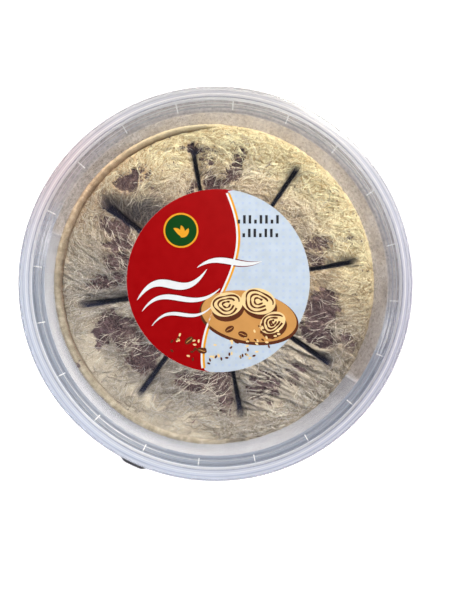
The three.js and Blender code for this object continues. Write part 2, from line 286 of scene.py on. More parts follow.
def clearPlastic(name):
    made, tree = newMaterial(name)
    place = add(tree, "TexCoord").outputs["Object"]
    milk, film, shade, warm, rim = (told(tree, key) for key in ("milk", "film", "shade", "warm", "rim"))
    radius = vectors(tree, "LENGTH", vectors(tree, "MULTIPLY", place, (1, 1, 0)), output="Value")
    rings = add(tree, "TexNoise", {"W": radius, "Scale": plastic["turning"], "Detail": 3.0},
                noise_dimensions="1D").outputs[0]
    cloud = cloudy(tree, place, plastic["clouds"], 4.0, Roughness=0.65)
    drawn = vectors(tree, "MULTIPLY", place, plastic["drawn"])
    fine = cloudy(tree, drawn, plastic["filmGrain"], 3.0)
    specks = cloudy(tree, drawn, plastic["filmSpecks"], 1.0)

    mottled = times(tree, ramp(tree, fine, 0.35, 0.65, 0.76, 1.16), ramp(tree, specks, 0.28, 0.42, 0.6, 1.02))
    # painted light: the film is lighter where the light comes through, then takes the fat's grain and specks
    filmTone = mixColour(tree, told(tree, "lit"), plastic["film"], plastic["filmLit"])
    filmTone = mixColour(tree, 1.0, filmTone, mottled, "MULTIPLY")
    # painted light and shade: the milk's tint changes round the rim as the light falls
    milkTone = mixColour(tree, warm, plastic["milk"], plastic["milkLightSideTint"])
    milkTone = mixColour(tree, told(tree, "pink"), milkTone, plastic["milkPink"])
    milkTone = mixColour(tree, told(tree, "violet"), milkTone, plastic["milkViolet"])
    colour = mixColour(tree, film, milkTone, filmTone)

    # painted highlight and shade lines round the rim
    lines = times(tree, rim, ramp(tree, cloud, 0.3, 0.7, 0.7, 1.2))
    dark = pulses(tree, radius, [(at, wide, -strength) for at, wide, strength in rimLines if strength < 0])
    colour = mixColour(tree, times(tree, dark, lines, clamp=True), colour, plastic["lineShade"])
    bright = pulses(tree, radius, [row for row in rimLines if row[2] > 0])
    bright = maths(tree, "MULTIPLY_ADD", pulses(tree, radius, litLines), warm, bright)
    bright = most(tree, times(tree, bright, lines, clamp=True), told(tree, "bright"))
    colour = mixColour(tree, bright, colour, plastic["line"])

    # painted shade on the steps, in darker bands
    level = add(tree, "SeparateXYZ", {0: place}).outputs["Z"]
    shadeTone = mixColour(tree, pulses(tree, level, stepBands), plastic["shadeLit"], plastic["shade"])
    colour = mixColour(tree, ramp(tree, shade, 0.0, 0.2), colour, shadeTone)
    # painted shadow on the tab's top
    colour = mixColour(tree, ramp(tree, shade, 0.9, 1.0), colour, plastic["deep"])

    clear = add(tree, "BsdfPrincipled", {
        "Base Color": plastic["tint"],
        "Roughness": plastic["roughness"],
        "IOR": plastic["bend"],
        "Transmission Weight": 1.0,
    })
    outer = add(tree, "BsdfPrincipled", {
        "Base Color": colour,
        "Roughness": plastic["milkRoughness"],
        "Specular IOR Level": 0.25,
    })
    milky = mixShaders(tree, plastic["through"], outer, add(tree, "BsdfTranslucent", {"Color": colour}))
    share = most(tree, times(tree, milk, ramp(tree, rings, 0.3, 0.7, 0.65, 1.3)), shade)
    share = most(tree, share, times(tree, film, ramp(tree, cloud, 0.3, 0.7, 0.8, 1.0)))
    facing = add(tree, "LayerWeight", {"Blend": 0.25}).outputs["Facing"]
    share = times(tree, share, ramp(tree, facing, 0.0, 1.0, 0.9, 1.5), clamp=True)
    body = mixShaders(tree, share, clear, milky)
    shadow = add(tree, "BsdfTransparent", {"Color": plastic["shadow"]})
    show(tree, mixShaders(tree, add(tree, "LightPath").outputs["Is Shadow Ray"], body, shadow))
    return made


tub = {
    "footInner": 44.5,
    "footOuter": 48.6,
    "footLift": 0.8,
    "corner": 3.5,
    "draft": 5,              # degrees
    "wall": 0.7,
    "shoulder": 43.0,
    "soften": 0.25,
    "segments": 240,
}

lid = {
    "top": 52.0,
    "radius": 59.0,
    "wall": 0.7,
    "fit": 0.45,             # clearance over the tub's rim
    "rimWidth": 4.15,
    "rimEdge": 0.8,          # rounding of the rim's outer edge
    "skirt": 9.0,
    "catch": 0.55,
    "recess": 5.5,
    "flights": (1.3, 1.35),  # the wall round the recess goes down to the first ledge and on to the second
    "ledge": 0.35,
    "ribs": 20,
    "firstRib": 12.5,
    "ribThickness": 0.3,
    "tabAngle": 245.3,
    "tabSpan": 12.5,         # degrees round the skirt
    "tabReach": 1.8,
    "tabBelow": 4.0,         # from the lid's top down to the tab
    "tabThickness": 0.9,
    "soften": 0.22,
    "segments": 240,
}

bandPaper = {
    "low": 9.0,
    "high": 42.0,
    "start": 162.5,
    "end": 325.0,
    "gap": 0.15,
    "thickness": 0.2,
}

skirtInner = lid["radius"] - lid["wall"]
recessRadius = lid["radius"] - lid["rimWidth"]
panelTop = lid["top"] - lid["recess"]
panelUnder = panelTop - lid["wall"]
plugRadius = recessRadius + lid["wall"]
rimInner = plugRadius + lid["fit"]
rimTop = lid["top"] - lid["wall"] - lid["fit"]
floorTop = tub["footLift"] + tub["wall"]


def wallOuter(z):
    return tub["footOuter"] + tub["corner"] + (z - tub["corner"]) * math.tan(math.radians(tub["draft"]))


def wallInner(z):
    return wallOuter(z) - tub["wall"]


def makeTub():
    foot, corner, shoulder = tub["footOuter"], tub["corner"], tub["shoulder"]
    rimOuter, flange = rimInner + tub["wall"], skirtInner - lid["fit"]
    lift, footInner = tub["footLift"], tub["footInner"]
    outside = [(0, lift), (footInner - lift, lift), (footInner, 0)]
    outside += arc(foot, corner, corner, -90, -tub["draft"], 10)
    outside += [(wallOuter(z), z) for z in np.linspace(9, shoulder, 8)]
    rim = [
        (rimOuter, shoulder + 1.2), (rimOuter, rimTop - 1.1), (flange, rimTop - 0.7),
        (flange, rimTop - 0.2), (flange - 0.3, rimTop), (rimInner, rimTop),
        (rimInner, shoulder + 1.5), (wallInner(shoulder), shoulder + 0.3),
    ]
    inside = [(wallInner(z), z) for z in np.linspace(shoulder - 3, 9, 7)]
    inside += arc(foot, corner + lift, corner - tub["wall"], -tub["draft"], -90, 10)
    outline = eased(outside + rim + inside + [(0, floorTop)], tub["soften"])
    return turned("tubClear", outline, tub["segments"])


def recessWall():
    r, z, lean = recessRadius, lid["top"] - 0.6, 0.15
    line = [(r, z)]
    for flight in lid["flights"]:
        line += [(r - lean, z - flight), (r - lean - lid["ledge"], z - flight - 0.15)]
        r, z = line[-1]
    return line + [(r - lean, panelTop + 0.4), (r - lean - 0.35, panelTop)]


def makeLid():
    edge, top = lid["rimEdge"], lid["top"]
    bottom, bead = top - lid["skirt"], rimTop - 1.1 - lid["catch"] - lid["fit"]
    under = [
        (0, panelUnder), (plugRadius - 1.6, panelUnder), (plugRadius - 1.1, panelUnder + 0.5),
        (plugRadius, top - lid["wall"] - 0.4), (plugRadius + 0.3, top - lid["wall"]),
        (skirtInner - 0.5, top - lid["wall"]), (skirtInner, top - lid["wall"] - 0.7),
        (skirtInner, bead + lid["catch"]), (skirtInner - lid["catch"], bead),
        (skirtInner, bead - lid["catch"]), (skirtInner, bottom), (lid["radius"], bottom),
    ]
    over = arc(lid["radius"] - edge, top - edge, edge, 0, 90, 8)
    over += [(recessRadius + 0.6, top), (recessRadius + 0.15, top - 0.2)] + recessWall() + [(0, panelTop)]
    piece = turned("lidClear", eased(under + over, lid["soften"]), lid["segments"])
    half = lid["ribThickness"] / 2
    side = [
        (recessRadius + 0.1, top - 0.7), (recessRadius - 0.5, top - 0.9),
        (recessRadius - 1.2, panelTop + 1.2), (recessRadius - 0.7, panelTop + 0.9),
    ]
    for k in range(lid["ribs"]):
        block = [(r, y, z) for y in (-half, half) for r, z in side]
        block = spin(block, lid["firstRib"] + 360 / lid["ribs"] * k)
        faces = [[0, 1, 2, 3], [7, 6, 5, 4]] + [[4 + i, 4 + (i + 1) % 4, (i + 1) % 4, i] for i in range(4)]
        combine(piece, newPiece("rib", block, faces), "UNION")
    combine(piece, liftingTab(), "UNION")
    return piece


def liftingTab():         # a low bulge that follows the skirt
    half, root = lid["tabSpan"] / 2, lid["radius"] - lid["wall"] / 2
    corners = arc(0, 0, root, half, -half, 12)
    for turn in np.linspace(-half, half, 26)[1:-1]:
        r = lid["radius"] + lid["tabReach"] * float(1 - smooth(abs(turn), 0.35 * half, half))
        corners.append((r * math.cos(math.radians(turn)), r * math.sin(math.radians(turn))))
    level = lid["top"] - lid["tabBelow"]
    return newPiece("tab", *upright(spin(corners, lid["tabAngle"]), level, level + lid["tabThickness"]))


def tell(piece, name, values, domain="POINT"):
    layer = piece.data.attributes.new(name, "FLOAT", domain)
    layer.data.foreach_set("value", np.asarray(values, np.float32))


def perElement(elements, field):  # x, y and z of each point or face
    values = np.empty(len(elements) * 3)
    elements.foreach_get(field, values)
    return values.reshape(-1, 3).T


def places(piece):        # where its points are, in millimetres
    return perElement(piece.data.vertices, "co") / mm


def polar(x, y):
    return np.hypot(x, y), np.degrees(np.arctan2(y, x)) % 360


cloudiness = {               # how milky the plastic looks, from 0 to 1
    "tubWall": 0.1,
    "tubRim": 0.3,
    "panel": 0.01,
    "steps": 0.04,
    # the ledges and the rim's inner edge are also milkier as painted highlights
    "ledges": 0.85,
    "rim": 0.55,
    "rimEdge": 0.9,
    "rimShade": 0.45,        # painted shade: the rim's outer edge is darker on the side away from the light
    "rimLit": 0.75,          # and painted milkier on the light's side
    "skirt": 0.35,
    "ribs": 0.8,
    "film": 0.95,            # the film of fat inside the tub, where no label backs the wall, partly painted shade
    "litAt": (103, 48),      # painted light: it looks lighter round 103 degrees, over some 48 degrees
    # painted tints of the milk round the rim
    "warmAt": (78, 58),
    "pinkAt": (143, 20),
    "violetAt": (345, 48),
    "filmAtLabel": 0.05,
    "filmFrom": (27, 30),    # the heights where it begins and where it ends
    "filmTo": (43.5, 46),
    "filmOnSteps": 0.85,     # painted reflection: the steps take that film's colour on the side without a label
    "shade": 0.72,           # and are painted with shade on the label's side
    "shadeElsewhere": 0.045,
    "shadeUpperLedge": 0.14,
    "shadeAtLabel": 0.5,     # painted shade: the label's back is darker close above the cake
    "shadeTo": (35.5, 42.5),
    "shadeRound": (232, 44),
    "labelSide": ((145, 185), (330, 360)),  # degrees, where it sets in and where it ends
    "lightSide": (60, 52),   # round this angle, over so many degrees
    "farSide": 240,
    "edgeBright": (0.35, 0.65),  # painted highlight on the rim's inner edge, on all sides and what is added on the light's side
    # painted highlights on the ribs and the ledges
    "ribBright": 0.75,
    "ledgeBright": 0.4,
    "ledgeAlsoAt": (232, 42),
}


def bump(angle, at, wide):  # 1 at that angle and less away from it
    return np.exp(-((((angle - at + 180) % 360 - 180) / wide) ** 2))


def onFaces(piece, values, pick):  # one value for each face from those of its points
    loops = np.empty(len(piece.data.loops), int)
    starts = np.empty(len(piece.data.polygons), int)
    piece.data.loops.foreach_get("vertex_index", loops)
    piece.data.polygons.foreach_get("loop_start", starts)
    return pick.reduceat(values[loops], starts)


def byAngle(piece, angle, domain):  # painted light: tints that change round the tub as the light and the view do
    for name in ("lit", "warm", "pink", "violet"):
        tell(piece, name, bump(angle, *cloudiness[name + "At"]), domain)


def cloudTub(piece):
    x, y, z = places(piece)
    r, angle = polar(x, y)
    inside = smooth(wallOuter(z) - r, 0.3, 0.5)
    start, end = bandPaper["start"], bandPaper["end"]
    backed = within(angle, (start - 1, start + 1), (end - 1, end + 1))
    film = cloudiness["film"] * (1 - backed) + cloudiness["filmAtLabel"] * backed
    tell(piece, "film", film * inside * within(z, cloudiness["filmFrom"], cloudiness["filmTo"]))
    byAngle(piece, angle, "POINT")
    # painted shade on the label's back close above the cake
    low = within(z, cloudiness["filmFrom"], cloudiness["shadeTo"])
    low = low * (0.08 + 0.92 * bump(angle, *cloudiness["shadeRound"]))
    tell(piece, "shade", cloudiness["shadeAtLabel"] * backed * inside * low)
    rim = smooth(z, tub["shoulder"] - 1, tub["shoulder"] + 1)
    tell(piece, "milk", cloudiness["tubWall"] * (1 - rim) + cloudiness["tubRim"] * rim)


def onRibs(piece):        # which faces belong to a rib
    r, angle = polar(*places(piece)[:2])
    pitch = 360 / lid["ribs"]
    off = np.abs((angle - lid["firstRib"] + pitch / 2) % pitch - pitch / 2) * math.pi / 180 * r
    return onFaces(piece, off, np.maximum) < lid["ribThickness"] / 2 + 0.03


def cloudLid(piece):
    x, y, z = perElement(piece.data.polygons, "center") / mm
    facesUp = perElement(piece.data.polygons, "normal")[2]
    r, angle = polar(x, y)
    top, radius = lid["top"], lid["radius"]
    towardsLight = bump(angle, *cloudiness["lightSide"])
    atLabel = within(angle, *cloudiness["labelSide"])

    steps = (r > recessRadius - 2) & (r < recessRadius) & (z < top - 0.7)
    ledges = steps & (np.abs(facesUp) > 0.6) & (z > panelTop + 0.6)
    ribs = onRibs(piece) & (r < recessRadius + 0.15) & (r > recessRadius - 1.3)
    plain = steps & ~ribs & ~ledges
    upper, lower = ledges & (z >= top - 2.5), ledges & (z < top - 2.5)
    rimEdge = (r > recessRadius - 0.1) & (r < recessRadius + 0.5) & (z > top - 0.7)
    outerEdge = smooth(r, radius - 0.9, radius - 0.3) * (z > top - 1.5)
    tabTop = (r > radius + 0.1) & (z > top - 4.2) & (facesUp > 0.6)

    milk = np.full(len(r), cloudiness["panel"])
    for where, kind in ((steps, "steps"), (r > plugRadius, "rim"), (rimEdge, "rimEdge"), (ledges, "ledges")):
        milk[where] = cloudiness[kind]
    # painted light: the outer edge is milkier on the light's side
    milk = np.maximum(milk, cloudiness["rimLit"] * outerEdge * towardsLight)
    milk[(r > skirtInner - 0.7) & (z < top - 1)] = cloudiness["skirt"]
    milk[ribs & (z > panelTop + 0.8)] = cloudiness["ribs"]
    tell(piece, "milk", milk, "FACE")

    # painted shade on the steps, most on the label's side, and on the upper ledge there
    shade = np.where(plain, np.maximum(cloudiness["shade"] * atLabel, cloudiness["shadeElsewhere"]), 0)
    shade = np.where(upper, cloudiness["shadeUpperLedge"] * atLabel, shade)
    # painted shade on the rim's outer edge away from the light
    farSide = smooth(np.cos(np.radians(angle - cloudiness["farSide"])), -0.1, 0.7)
    shade = np.maximum(shade, cloudiness["rimShade"] * outerEdge * farSide)
    # painted shadow on top of the lifting tab
    shade[tabTop] = 1
    tell(piece, "shade", shade, "FACE")
    # painted reflection of the tub's film in the steps
    tell(piece, "film", np.where(plain, cloudiness["filmOnSteps"] * (1 - atLabel), 0), "FACE")
    byAngle(piece, angle, "FACE")

    # painted highlights on the rim's inner edge, the ribs and the ledges
    least, more = cloudiness["edgeBright"]
    bright = np.where(rimEdge, least + more * towardsLight, 0)
    bright = np.maximum(bright, np.where(ribs, cloudiness["ribBright"], 0))
    bright = np.maximum(bright, np.where(upper, towardsLight, 0))
    onLower = cloudiness["ledgeBright"] * towardsLight
    onLower = onLower + cloudiness["ledgeBright"] * bump(angle, *cloudiness["ledgeAlsoAt"])
    tell(piece, "bright", np.maximum(bright, np.where(lower, onLower, 0)), "FACE")
    tell(piece, "rim", (r > recessRadius + 0.5) & (z > top - 1), "FACE")


tubClear = makeTub()
cloudTub(tubClear)
tubClear.data.materials.append(clearPlastic("tubPlastic"))
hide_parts("tub")
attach(tubClear, "root")

lidClear = makeLid()
cloudLid(lidClear)
lidClear.data.materials.append(clearPlastic("lidPlastic"))
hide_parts("lid")
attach(lidClear, "root")
print("tub and lid:", len(tubClear.data.polygons), len(lidClear.data.polygons), "faces")


# the cake of halva

halva = {
    "level": 31.5,
    "crown": 1.6,
    "gap": 0.3,
    "intoWall": 0.12,        # the cake reaches just into the tub's wall
    "scoreDepth": 6.0,
    "scoreInner": 4.0,
    "scoreTaper": (0.35, 1.2),  # width at the inner and the outer end, as a share of the mouth
    "scoreFoot": 0.22,       # half width at its bottom
    "scoreSlope": 0.55,      # its outer end slopes out by this much of its height
    "brink": (1.3, 2.4),     # how far the top sinks beside a score, and how wide
    "pillow": (1.3, 6.5),
    "rise": (2.5, 2.1, 145),  # the top edge above the level: mean, tilt, and where it is highest
    "rope": (92, 275),       # the stretch, in degrees, where the edge is pressed into a thick rope
    "ropeWidth": (0.45, 1.1, 205),  # least width, what is added, and where it is widest
    "crease": (0.7, 0.26),   # along the rope's foot: depth and width
    "creaseFades": (200, 232),  # it fades away between these angles
    "bank": 13.0,            # width of the slope up to the edge elsewhere
    "brow": 0.6,             # the bank's top stands this far above the edge's height
    "roundOff": (1.6, 3.2),  # how far it drops again to the edge, and how wide
    "crags": (1.1, 5.5),     # height and size
    "calmed": 0.6,           # the share of the crags that is missing where the top is smoother
    "combedTurns": ((279, 291), (328, 336)),  # the stretch that is drawn out into long folds
    "combedOut": (43, 50),
    "bareTurns": ((185, 205), (262, 280)),  # and the one along the edge where few threads lie
    "bareFrom": (40, 44),
    "litAngle": 62,          # the middle of the bright edge
    "litFrom": (36, 48),
    "sparse": (0.75, 347, 13, (40, 44)),  # fewer threads: share, angle, how wide, and out to where
    "matted": 0.36,          # height of the matted threads in the cake itself
    "combed": 0.42,          # height of the long folds in the combed stretch
    "cocoaSunk": 1.0,
    "reach": 54,             # just past the cake's edge
    "columns": 690,
}

# each score: angle, reach, mouth, and how much the portions beside it slump, the one at greater angles first
scores = [
    (10, 48, 1.9, 1.5, 0.8), (55.5, 47.5, 1.7, 1.2, 0.8), (100, 46.5, 1.7, 0.8, 1.0),
    (144, 47.5, 3.5, 0.7, 2.4), (188, 47, 2.6, 0.7, 2.0), (234.5, 45.8, 2.0, 1.0, 1.0),
    (280.5, 45.2, 2.1, 1.4, 1.6), (325.5, 47, 2.3, 2.0, 0.8),
]

# each patch of cocoa: x, y, half length, half width, turn in degrees, strength
cocoaPatches = [
    (-30.6, 34.5, 4.2, 2.6, 5, 0.7), (-26.0, 37.3, 4.4, 2.4, 35, 0.62), (-22.6, 34.2, 2.2, 1.2, -20, 0.5),
    (-8.4, 46.6, 3.2, 1.8, 0, 1.0), (-2.7, 41.4, 3.0, 5.0, 0, 0.58), (-1.3, 35.2, 3.2, 2.6, 0, 1.0),
    (-9.9, 36.9, 1.5, 1.7, 0, 0.6), (-9.5, 32.5, 2.6, 1.4, 30, 0.75), (-34.6, 20.1, 5.4, 2.6, -10, 0.95),
    (-33.2, 14.3, 5.4, 2.5, 5, 0.95), (-33.9, 7.8, 5.0, 2.8, 10, 0.9), (-36.6, 1.6, 6.0, 2.3, 5, 1.0),
    (6.3, 40.3, 5.6, 2.0, 67, 0.95), (3.5, 36.2, 3.6, 2.6, 20, 1.0), (34.0, 12.2, 5.2, 4.6, 40, 0.65),
    (-33.0, -16.5, 5.5, 3.4, -30, 0.9), (-25.5, -23.5, 5.0, 3.2, -35, 0.9), (45.3, 15.0, 2.5, 1.8, 60, 0.4),
    (21.5, 27.5, 1.5, 1.5, 0, 0.5), (26.7, 21.3, 2.0, 2.6, 20, 0.45),
    (-39.0, -15.5, 6.5, 2.6, 80, 1.0), (-32.5, -12.4, 4.8, 3.1, -10, 1.0), (-28.0, -17.2, 3.0, 1.8, 0, 0.95),
    (-27.0, -26.1, 4.6, 2.8, -10, 1.0), (-22.9, -22.7, 3.6, 2.6, 20, 0.95), (-6.1, -33.4, 7.6, 3.4, -5, 0.95),
    (-46.9, -27.5, 0.9, 1.2, 0, 0.8), (-38.2, -38.3, 1.3, 1.2, 45, 0.9), (1.4, -33.4, 4.0, 3.5, 0, 0.8),
    (2.8, -39.2, 2.2, 4.2, 0, 0.7), (15.5, -34.7, 6.0, 6.2, 0, 0.5), (28.5, -29.2, 4.5, 3.9, 30, 0.5),
    (35.7, -8.0, 5.5, 6.5, 0, 0.9), (34.7, -17.2, 7.0, 3.1, -25, 1.0), (44.3, -19.0, 3.2, 3.6, 40, 0.5),
]

# where cream and cocoa are kneaded into a grey mixture, given in the same way
greyPatches = [
    (-26.5, 27.0, 9.0, 3.4, -22, 1.0), (-38.5, 13.0, 8.0, 5.5, 60, 0.55), (-41.0, -1.5, 5.5, 3.5, 10, 0.7),
    (-33.0, -16.5, 9.0, 5.5, -35, 0.75), (-14.5, -33.5, 9.0, 4.0, -20, 0.7),
    (-22.5, -26.5, 6.5, 4.0, -45, 0.8),
    (13.4, -36.0, 5.0, 7.5, 0, 0.95), (25.0, -31.5, 7.5, 6.0, 30, 0.65), (36.5, -12.5, 6.0, 8.0, 10, 0.85),
    (-4.0, 36.0, 7.0, 7.0, 0, 0.6), (30.0, 9.5, 5.0, 3.5, 20, 0.6), (1.0, -39.0, 5.5, 6.0, 0, 0.7),
]

# painted shade on dark slopes, mostly beside the scores and at their ends, given in the same way
paintedShadeSpots = [
    (-25.5, 26.0, 12.5, 6.8, -10, 1.0), (-34.8, 28.2, 5.6, 3.2, -14, 1.0), (26.2, 38.9, 2.4, 1.9, 58, 0.75),
    (45.0, 8.9, 2.8, 1.6, 10, 0.5), (-42.5, -6.3, 2.8, 1.4, 8, 0.45), (-24.6, -34.6, 2.6, 1.5, 55, 0.4),
    (8.3, -42.5, 2.8, 1.5, 100, 0.4), (38.2, -24.5, 2.6, 1.4, -32, 0.5), (36.0, -11.0, 5.5, 7.5, 0, 0.5),
    (-31.0, -3.6, 8.0, 1.8, 6, 0.45), (-36.0, 2.0, 6.0, 2.2, 5, 0.5), (0.0, 35.0, 4.0, 5.0, 0, 0.25),
    (31.0, 8.5, 5.5, 2.4, 12, 0.45), (29.5, 17.0, 3.0, 4.0, 30, 0.3),
]

# which way the threads lie, in degrees from the way round the tub, at some places round it
flowTurns = [
    (0, 65), (22, 30), (60, 15), (125, 0), (150, 55), (180, 85), (215, 75), (250, 30),
    (288, -35), (318, -83), (345, -72), (360, -115),
]


def fromScore(r, angle):  # distance to the nearest score's line, where it ends, and how its side slumps
    best, end, slump = np.full(np.shape(r), 1e9), np.zeros(np.shape(r)), np.ones(np.shape(r))
    for at, reach, _, left, right in scores:
        off = (angle - at + 180) % 360 - 180
        near = r * np.sin(np.radians(np.minimum(np.abs(off), 90)))
        closer = near < best
        best, end = np.where(closer, near, best), np.where(closer, reach, end)
        slump = np.where(closer, np.where(off > 0, left, right), slump)
    return best, end, slump


def riseAt(angle):
    mean, tilt, at = halva["rise"]
    return mean + tilt * np.cos(np.radians(angle - at))


def ropeShare(angle):
    start, end = halva["rope"]
    return smooth(angle, start - 8, start + 10) * (1 - smooth(angle, end - 14, end + 8))


def creaseAt(r, angle, foot, wide):  # 1 along the rope's foot
    share = ropeShare(angle) * (1 - 0.85 * smooth(angle, *halva["creaseFades"]))
    return share * np.exp(-(((r - foot + 0.15) / wide) ** 2))


def ropeWidth(angle):
    least, more, at = halva["ropeWidth"]
    wide = (0.5 + 0.5 * np.cos(np.radians(angle - at))) ** 1.4
    return least + more * wide * (1 + 0.12 * noise(angle / 7, 0.5, 66)) + 0.12 * noise(angle / 2.2, 0.5, 67)


def topEdge(angle):       # radius of the cake at its top edge
    return wallInner(halva["level"] + riseAt(angle)) - halva["gap"]


def combedAt(x, y):       # 1 where the halva is drawn out into long smooth folds
    r, angle = polar(x, y)
    return within(angle, *halva["combedTurns"]) * (1 - smooth(r, *halva["combedOut"]))


def bareAt(x, y):         # 1 where few loose threads lie
    r, angle = polar(x, y)
    outer = within(angle, *halva["bareTurns"]) * smooth(r, *halva["bareFrom"])
    return np.maximum(outer, combedAt(x, y))


def flowAngle(x, y):
    angle = polar(x, y)[1]
    at, turns = zip(*flowTurns)
    wander = 40 * layered(x / 12, y / 12, 31, 2) + 30 * noise(x / 4.5, y / 4.5, 35)  # in degrees
    turn = np.interp(angle, at, turns) + wander * (1 - 0.6 * combedAt(x, y))
    return np.radians(angle + 90 + turn)


def drawnOut(grain, reach, seed, size=56.0, step=0.14):  # noise smeared along the flow
    n = int(2 * size / step)
    at = (np.arange(n) + 0.5) * step - size
    x, y = np.meshgrid(at, at, indexing="ij")
    value = noise(x / grain, y / grain, seed)
    angle = flowAngle(x, y)
    dx, dy = np.cos(angle), np.sin(angle)

    def index(p):
        return np.clip(((p + size) / step).astype(int), 0, n - 1)

    total = value.copy()
    for way in (step, -step):
        px, py = x, y
        for _ in range(int(reach / step)):
            i, j = index(px), index(py)
            px, py = px + way * dx[i, j], py + way * dy[i, j]
            total += value[index(px), index(py)]
    field = (total - total.mean()) / total.std()

    def look(x, y):
        u = np.clip((x + size) / step - 0.5, 0, n - 1.001)
        v = np.clip((y + size) / step - 0.5, 0, n - 1.001)
        i, j = u.astype(int), v.astype(int)
        s, t = u - i, v - j
        low = field[i, j] * (1 - s) + field[i + 1, j] * s
        high = field[i, j + 1] * (1 - s) + field[i + 1, j + 1] * s
        return low * (1 - t) + high * t

    return look


fineStreaks = drawnOut(0.28, 1.2, 41)
broadStreaks = drawnOut(0.7, 2.4, 47)
combedStreaks = drawnOut(0.8, 5.0, 43)


def acrossSpot(x, y, spot):  # how far from a spot's middle, along it and across it
    px, py, long, wide, turn, _ = spot
    a = math.radians(turn)
    u = ((x - px) * math.cos(a) + (y - py) * math.sin(a)) / long
    v = ((y - py) * math.cos(a) - (x - px) * math.sin(a)) / wide
    return u, v


def paintedShadeAt(x, y):      # painted shade in soft dark patches
    x = x + 0.7 * noise(x / 2.2, y / 2.2, 55)
    share = np.zeros(np.shape(x))
    for spot in paintedShadeSpots:
        u, v = acrossSpot(x, y, spot)
        share = np.maximum(share, spot[-1] * np.exp(-(u * u + v * v) ** 1.5))
    return share


def patches(spots, x, y):  # 1 inside the patches, with ragged outlines
    wx = x + 1.6 * noise(x / 2.6, y / 2.6, 51) + 0.9 * noise(x / 0.9, y / 0.9, 52)
    wy = y + 1.6 * noise(x / 2.6, y / 2.6, 53) + 0.9 * noise(x / 0.9, y / 0.9, 54)
    share = np.zeros(np.shape(x))
    for spot in spots:
        share = np.maximum(share, spot[-1] * (1 - smooth(np.hypot(*acrossSpot(wx, wy, spot)), 0.75, 1.45)))
    return share


def cocoaAt(x, y):        # 0 in the cream halva, 1 in the cocoa, with fringes along the flow
    # patches of any kind in the middle, which the lid label covers
    hidden = smooth(layered(x / 9, y / 9, 57), 0.0, 0.35) * (1 - smooth(np.hypot(x, y), 26, 31))
    share = patches(cocoaPatches, x, y)
    fringes = 0.2 * broadStreaks(x, y) + 0.14 * fineStreaks(x, y)
    share = share + fringes * (1 - np.abs(2 * share - 1)) * (share > 0)
    return np.maximum(np.clip(share, 0, 1), hidden)


def litEdge(x, y, low, high):  # 1 along the edge towards the light
    r, angle = polar(x, y)
    return smooth(r, *halva["litFrom"]) * smooth(np.cos(np.radians(angle - halva["litAngle"])), low, high)


def glowAt(x, y):         # painted light: 1 along the edge on the light's side, where the cream is painted brightest
    return litEdge(x, y, 0.1, 0.8)


def calmAt(x, y):         # 1 where the crags are lower
    return np.maximum(bareAt(x, y), litEdge(x, y, -0.15, 0.65))


def ropeFolds(r, angle):  # folds that cross the rope
    return 0.5 * noise(angle * 0.55, r / 2.2, 61) + 0.6 * noise(angle * 1.5, r / 1.6, 62)


def topOfHalva(x, y, fine=True):
    r, angle = polar(x, y)
    edge, rise, rope = topEdge(angle), riseAt(angle), ropeShare(angle)
    crown = halva["crown"] * (1 - (r / edge) ** 2)
    distance, end, slump = fromScore(r, angle)
    deep, wide = halva["brink"]
    sunk = deep * slump * np.exp(-(distance / (wide * (0.6 + 0.4 * slump))) ** 2)
    deep, wide = halva["pillow"]
    sunk = (sunk + deep * np.exp(-(distance / wide) ** 2)) * (1 - smooth(r, end - 3, end + 2))
    height, size = halva["crags"]
    calm = (1 - 0.75 * smooth(r, edge - 7, edge - 4)) * (1 - halva["calmed"] * calmAt(x, y))
    lumps = 0.6 * noise(x / size, y / size, 11) + 0.4 * noise(2.3 * x / size, 2.3 * y / size, 12)
    rough = height * lumps * calm
    foot = edge - ropeWidth(angle)
    across = (r - foot) / (edge - foot)
    stepUp = 0.8 * smooth(across, -0.1, 0.4) + 0.2 * smooth(across, 0.2, 0.75) - 0.12 * smooth(across, 0.8, 1)
    drop, wide = halva["roundOff"]
    bankUp = smooth(r, edge - halva["bank"], edge - 0.4)
    browUp = smooth(r, edge - halva["bank"], edge - wide)
    raised = rope * rise * (0.55 * stepUp + 0.45 * bankUp) + (1 - rope) * (rise + halva["brow"]) * browUp
    deep, width = halva["crease"]
    crease = deep * creaseAt(r, angle, foot, width)
    rounded = drop * np.clip((r - edge + wide) / wide, 0, 1) ** 2 * (1 - rope)
    z = halva["level"] + crown - sunk + rough + raised - crease - rounded
    if fine:              # flakes and matted threads, and the folds of the rope
        cocoa = cocoaAt(x, y)
        crumbly = 0.26 * noise(x / 0.55, y / 0.55, 63) + 0.18 * noise(x / 0.3, y / 0.3, 64)
        combed = combedAt(x, y)
        plain = np.maximum(0.7 * combed, 0.55 * bareAt(x, y))
        matted = halva["matted"] * (0.4 * broadStreaks(x, y) + 0.6 * fineStreaks(x, y)) * (1 - plain)
        matted = matted * (1 - 0.2 * glowAt(x, y)) + halva["combed"] * combed * combedStreaks(x, y)
        on = 1 - 0.8 * rope * smooth(r, foot - 1.2, foot)
        folds = 0.16 * rope * ropeFolds(r, angle) * smooth(r, foot - 0.1, foot + 0.4)
        z = z + on * (matted * (1 - 0.4 * cocoa) + crumbly * cocoa) - halva["cocoaSunk"] * cocoa * on + folds
    return z


